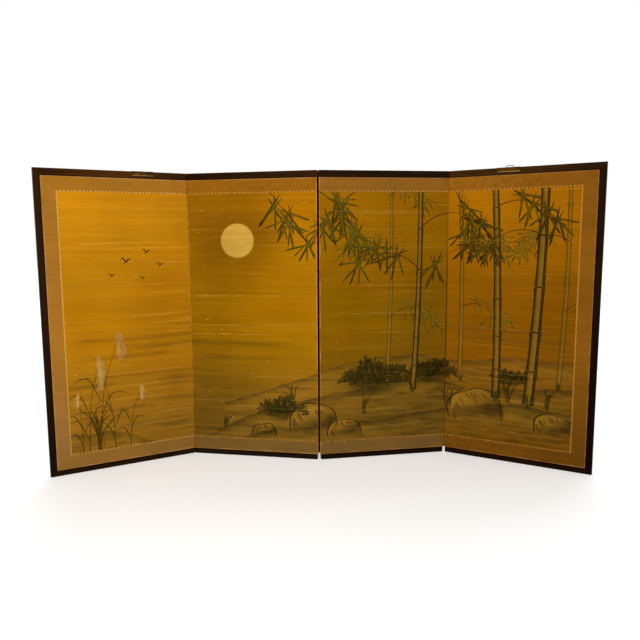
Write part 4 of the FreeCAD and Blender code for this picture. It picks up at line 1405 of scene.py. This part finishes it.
# foot, height, number of blades, and lean
GRASSES = [
    ((782, 170), 90, 12, -0.2),
    ((1012, 142), 84, 12, 0.1),
    ((1486, 190), 100, 14, 0.0),
    ((1296, 158), 84, 10, -0.2),
    ((1600, 180), 90, 12, 0.1),
    ((560, 90), 60, 9, 0.1),
    ((150, 56), 150, 18, 0.1),
    ((1176, 206), 54, 12, 0.0),
    ((1448, 190), 58, 14, 0.1),
    ((1546, 176), 64, 16, 0.0),
    ((1332, 244), 36, 9, 0.0),
    ((1632, 244), 36, 9, 0.0),
    ((1088, 230), 34, 9, 0.0),
]
# foot, height, and how far the tip leans out
REEDS = [
    ((116, 50), 300, 42),
    ((150, 50), 372, 72),
    ((196, 48), 262, -36),
    ((98, 50), 196, -8),
    ((240, 50), 200, 44),
]
# middle of the foot, half length and height
BUSHES = [((1048, 246), 112, 62), ((1236, 262), 84, 44), ((752, 150), 76, 42), ((1490, 262), 60, 26)]
# place, span and tilt
BIRDS = [
    ((250, 640), 36, 0.05),
    ((314, 668), 30, -0.04),
    ((356, 628), 26, 0.08),
    ((206, 598), 24, 0.0),
    ((300, 588), 20, 0.1),
]
# start and length
RIPPLES = [
    ((296, 118), 170),
    ((380, 150), 130),
    ((250, 205), 150),
    ((470, 226), 120),
    ((330, 262), 90),
    ((90, 290), 120),
    ((420, 90), 150),
    ((560, 300), 90),
    ((300, 176), 90),
    ((560, 176), 80),
]


def draw_picture():
    """The whole drawing, from what lies far off to what lies near."""
    drawing, dice = Drawing(), random.Random(PICTURE_SEED)
    for foot, top, half_width in FAR_STALKS:
        rings = stalk(drawing, foot, top, half_width, FAR_STALK_INK, FAR_STALK_SHADE, 0.7, 0)
        for ring in rings[2::2]:
            heading = math.radians(dice.choice((dice.uniform(25, 60), dice.uniform(120, 155))))
            twig(drawing, ring, heading, dice.uniform(90, 150), 1.6, 46, (LEAF_FAR,), 2, dice)
    for start, heading, length in HANGING_TWIGS:
        inks = (LEAF_NEAR, LEAF_MID, LEAF_MID)
        twig(drawing, start, math.radians(heading), length, 0.8, 62, inks, 6, dice)
    for foot, top, half_width in NEAR_STALKS:
        rings = stalk(drawing, foot, top, half_width, STALK_INK, STALK_SHADE, 0.95, 4)
        for n, ring in enumerate(rings[3:]):
            heading = math.radians(dice.uniform(25, 50) if n % 2 else dice.uniform(130, 155))
            inks = (LEAF_NEAR, LEAF_NEAR, LEAF_MID)
            twig(drawing, ring, heading, dice.uniform(120, 200), 1.5, 62, inks, 7, dice)
    for middle, half_length, height in BUSHES:
        bush(drawing, middle, half_length, height, 3, dice)
    for middle, width, height in ROCKS:
        rock(drawing, middle, width, height, 6, dice)
    for foot, height, count, lean in GRASSES:
        grass(drawing, foot, height, count, lean, LEAF_NEAR, 0.85, 9, dice)
    for foot, height, lean in REEDS:
        reed(drawing, foot, height, lean, 9, dice)
    for place, span, tilt in BIRDS:
        bird(drawing, place, span, tilt, 3)
    for start, length in RIPPLES:
        ripple(drawing, start, length, 2, dice)
    return drawing


# Washes: soft paint, worked out at any point of the board

MOON_PLACE = (612, 702)
MOON_RADIUS = 54
# middle and half height, start and end, and cover
MIST_BANDS = [
    (402, 6, 60, 520, 0.34),
    (376, 10, 200, 800, 0.42),
    (348, 7, 60, 420, 0.34),
    (436, 5, 330, 720, 0.24),
    (420, 8, 1240, 1690, 0.34),
    (392, 12, 1290, 1690, 0.4),
    (460, 5, 900, 1250, 0.24),
    (326, 9, 420, 760, 0.34),
]
FAR_BANK = [
    (560, 178), (700, 222), (860, 282), (1000, 318), (1150, 330), (1330, 312), (1500, 336), (1700, 322),
]
MIDDLE_BANK = [
    (500, 60), (620, 128), (740, 164), (880, 206), (1040, 236), (1200, 252), (1400, 226), (1700, 256),
]
NEAR_BANK = [
    (560, 40), (700, 84), (900, 118), (1080, 126), (1250, 142), (1430, 176), (1560, 184), (1700, 170),
]
SAND_BAR = [(-40, 96), (80, 118), (190, 112), (300, 70), (380, 30)]
# upper edge, strength, depth of shade, and seed
BANKS = [
    (FAR_BANK, 0.7, 16, 11),
    (MIDDLE_BANK, 0.86, 24, 21),
    (NEAR_BANK, 0.9, 28, 31),
    (SAND_BAR, 0.5, 16, 41),
]


def ease(value, low, high):
    """Goes smoothly from 0 to 1 as value goes from low to high."""
    share = np.clip((value - low) / (high - low), 0, 1)
    return share * share * (3 - 2 * share)


def mottled(along, height, pitch_along, pitch_up, seed):
    """Smooth noise from 0 to 1, the same at each run, with blotches of a given pitch."""
    table = np.random.default_rng(seed).random((NOISE_CELLS + 1, NOISE_CELLS + 1))
    column, row = along / pitch_along, height / pitch_up
    left, under = np.floor(column).astype(int), np.floor(row).astype(int)
    right_share, upper_share = ease(column - left, 0, 1), ease(row - under, 0, 1)
    left, under = left % NOISE_CELLS, under % NOISE_CELLS
    lower = table[under, left] * (1 - right_share) + table[under, left + 1] * right_share
    upper = table[under + 1, left] * (1 - right_share) + table[under + 1, left + 1] * right_share
    return lower * (1 - upper_share) + upper * upper_share


def lay(paint, colour, cover):
    """Lays one more wash over the paint: colour times cover, and cover."""
    cover = np.clip(cover, 0, 1)[:, None]
    paint *= 1 - cover
    paint += np.append(colour[:3], 1.0) * cover


def bank(paint, along, height, knots, strength, depth_of_shade, seed):
    """A bank of land: dark along its upper edge, where it stands out, and paler and mottled further down."""
    line = np.array(curve_through(knots))
    edge = np.interp(along, line[:, 0], line[:, 1], left=-100, right=-100)
    broad = mottled(along, 0 * along, 60, 1, seed) - 0.5
    fine = mottled(along, 0 * along, 14, 1, seed + 1) - 0.5
    edge += 10 * broad + 5 * fine
    depth = edge - height
    inside = ease(depth, -1.5, 2.0)
    streaks = mottled(along - depth * 0.8, height, 46, 9, seed + 2)
    lay(paint, BANK_LIGHT, 0.5 * inside * ease(depth, 140, 10))
    shade = np.exp(-np.maximum(depth, 0) / (depth_of_shade * (0.5 + streaks)))
    lay(paint, BANK_SHADE, strength * inside * shade)
    lay(paint, BANK_SHADE, 0.3 * inside * ease(streaks, 0.55, 0.85))


def washes(along, height):
    """The washes at points of the unfolded screen, in millimetres: colour times cover, and cover."""
    paint = np.zeros((len(along), 4))
    drift = mottled(along, height, 240, 40, 1)
    from_moon = np.hypot(along - MOON_PLACE[0], height - MOON_PLACE[1])
    halo = ease(from_moon, 210, MOON_RADIUS) * (0.35 + 0.4 * drift)
    lay(paint, DUSK_WASH, halo)
    lay(paint, MOON_LIGHT, 0.8 * ease(from_moon, MOON_RADIUS + 1.5, MOON_RADIUS - 2.5))
    for middle, half_height, start, end, cover in MIST_BANDS:
        wander = 7 * (mottled(along, 0 * along, 110, 1, middle) - 0.5)
        across = np.exp(-(((height - middle - wander) / half_height) ** 2))
        window = ease(along, start, start + 90) * ease(along, end, end - 90)
        lay(paint, MIST_WASH, cover * across * window * (0.5 + mottled(along, height, 60, 5, middle + 1)))
    water = ease(height, 330, 250) * ease(along, 760, 520)
    lay(paint, WATER_INK, 0.42 * water * ease(mottled(along, height, 130, 7, 5), 0.5, 0.9))
    lay(paint, BANK_LIGHT, 0.3 * water * ease(mottled(along, height, 170, 11, 6), 0.6, 0.95))
    for knots, strength, depth_of_shade, seed in BANKS:
        bank(paint, along, height, knots, strength, depth_of_shade, seed)
    for (middle, foot), half_length, tall in BUSHES:
        out = np.hypot((along - middle) / half_length, (height - foot - tall * 0.25) / tall)
        lay(paint, BUSH_SHADE, 0.85 * ease(out, 1.1, 0.55) * (0.6 + 0.5 * mottled(along, height, 16, 12, 7)))
    for (middle, foot), width, tall in ROCKS:
        out = np.hypot((along - middle) / (width / 2), np.maximum(height - foot, 0) / tall)
        inside = ease(out, 1.06, 0.94) * ease(height, foot - 24, foot + 6)
        lit = ease((along - middle) / width * -1.0 + (height - foot) / tall, -0.2, 0.8)
        lay(paint, BANK_LIGHT, 0.75 * inside * lit)
        blotches = 0.6 + 0.6 * mottled(along, height, 18, 10, 8)
        lay(paint, ROCK_INK, 0.75 * inside * (1 - lit) * blotches)
    return paint


def lay_washes(mesh, panel):
    """Gives each point of a mesh in a panel's frame the washes that lie there."""
    points = mesh_points(mesh)
    store_colours(mesh, "wash", washes((points[:, 0] + panel.start) / MM, points[:, 2] / MM))


# Studio

def make_camera():
    """The camera at the photograph's viewing angle."""
    camera = new_object("camera", bpy.data.cameras.new("camera"))
    camera.data.sensor_width = CAMERA_SENSOR
    camera.data.lens = CAMERA_LENS
    camera.data.shift_x = CAMERA_SHIFT
    sin_yaw, cos_yaw = math.sin(CAMERA_YAW), math.cos(CAMERA_YAW)
    sin_pitch, cos_pitch = math.sin(CAMERA_PITCH), math.cos(CAMERA_PITCH)
    forward = Vector((sin_yaw * cos_pitch, cos_yaw * cos_pitch, -sin_pitch))
    right = Vector((cos_yaw, -sin_yaw, 0))
    up = Vector((sin_yaw * sin_pitch, cos_yaw * sin_pitch, cos_pitch))
    cos_roll, sin_roll = math.cos(CAMERA_ROLL), math.sin(CAMERA_ROLL)
    axes = (right * cos_roll + up * sin_roll, up * cos_roll - right * sin_roll, -forward)
    camera.matrix_world = Matrix.Translation(CAMERA_PLACE) @ Matrix(axes).transposed().to_4x4()
    bpy.context.scene.camera = camera


def add_sun(name, azimuth, elevation, strength, angle):
    """A soft sun that shines from an azimuth (0 is straight in front of the screen) and an elevation."""
    sun = new_object(name, bpy.data.lights.new(name, "SUN"))
    sun.data.energy = strength
    sun.data.angle = math.radians(angle)
    turn, rise = math.radians(azimuth), math.radians(elevation)
    towards = Vector((math.sin(turn) * math.cos(rise), -math.cos(turn) * math.cos(rise), math.sin(rise)))
    sun.rotation_mode = "QUATERNION"
    sun.rotation_quaternion = towards.to_track_quat("Z", "Y")


def seen_directly(t):
    """1 for what the camera, a gloss or a clear piece shows, and 0 for what only lights the object."""
    path = t.add("ShaderNodeLightPath").outputs
    gloss_or_clear = t.math("MAXIMUM", path["Is Glossy Ray"], path["Is Transmission Ray"])
    return t.math("MAXIMUM", path["Is Camera Ray"], gloss_or_clear)


def make_studio():
    """A pale floor, a white surround and three soft suns."""
    world = bpy.data.worlds.new("studio")
    bpy.context.scene.world = world
    world.use_nodes = True
    t = Tree(world.node_tree)
    background = world.node_tree.nodes["Background"]
    background.inputs["Color"].default_value = (1, 1, 1, 1)
    t.feed(background.inputs["Strength"], t.ease(seen_directly(t), 0.0, 1.0, AMBIENT, 1.0))
    for sun in SUNS:
        add_sun(*sun)
    mesh = bpy.data.meshes.new("floor")
    half = FLOOR_SIZE / 2
    corners = [(x * half, y * half, FLOOR_LEVEL) for x, y in ((-1, -1), (1, -1), (1, 1), (-1, 1))]
    mesh.from_pydata(corners, [], [(0, 1, 2, 3)])
    floor = new_object("floor", mesh)
    material, t = new_material("pale_floor")
    finish(t, t.mix(seen_directly(t), FLOOR_TONE, FLOOR_SEEN), 0.9, Specular_IOR_Level=0.0)
    mesh.materials.append(material)
    bpy.context.scene.view_settings.view_transform = "Standard"


make_camera()
make_studio()
LINING_PAPER = plain_paper()
NAIL_IRON = aged_metal("nail_iron", NAIL_BRIGHT, NAIL_DULL, 300.0)
RING_BRASS = aged_metal("ring_brass", RING_BRIGHT, RING_DULL, 200.0)
DRAWING = draw_picture()
for each_panel in PANELS:
    dress_panel(each_panel)
for each_panel in (PANELS[0], PANELS[3]):
    name = f"{each_panel.name}_hanger_brass"
    brass = aged_metal(name, BRASS_BRIGHT, BRASS_DULL, 60.0, lip_foot(each_panel))
    dress_node(f"{each_panel.name}_hanger", brass)
    dress_node(f"{each_panel.name}_hanging_ring", RING_BRASS)
for each_panel in PANELS:
    for side, fold in (("right", each_panel.left_fold), ("left", each_panel.right_fold)):
        if fold:
            cotton = hinge_cloth(each_panel, fold)
            lined_hinge_cloth(each_panel, f"fold_{fold}_{side}_hinge_cloth", cotton)
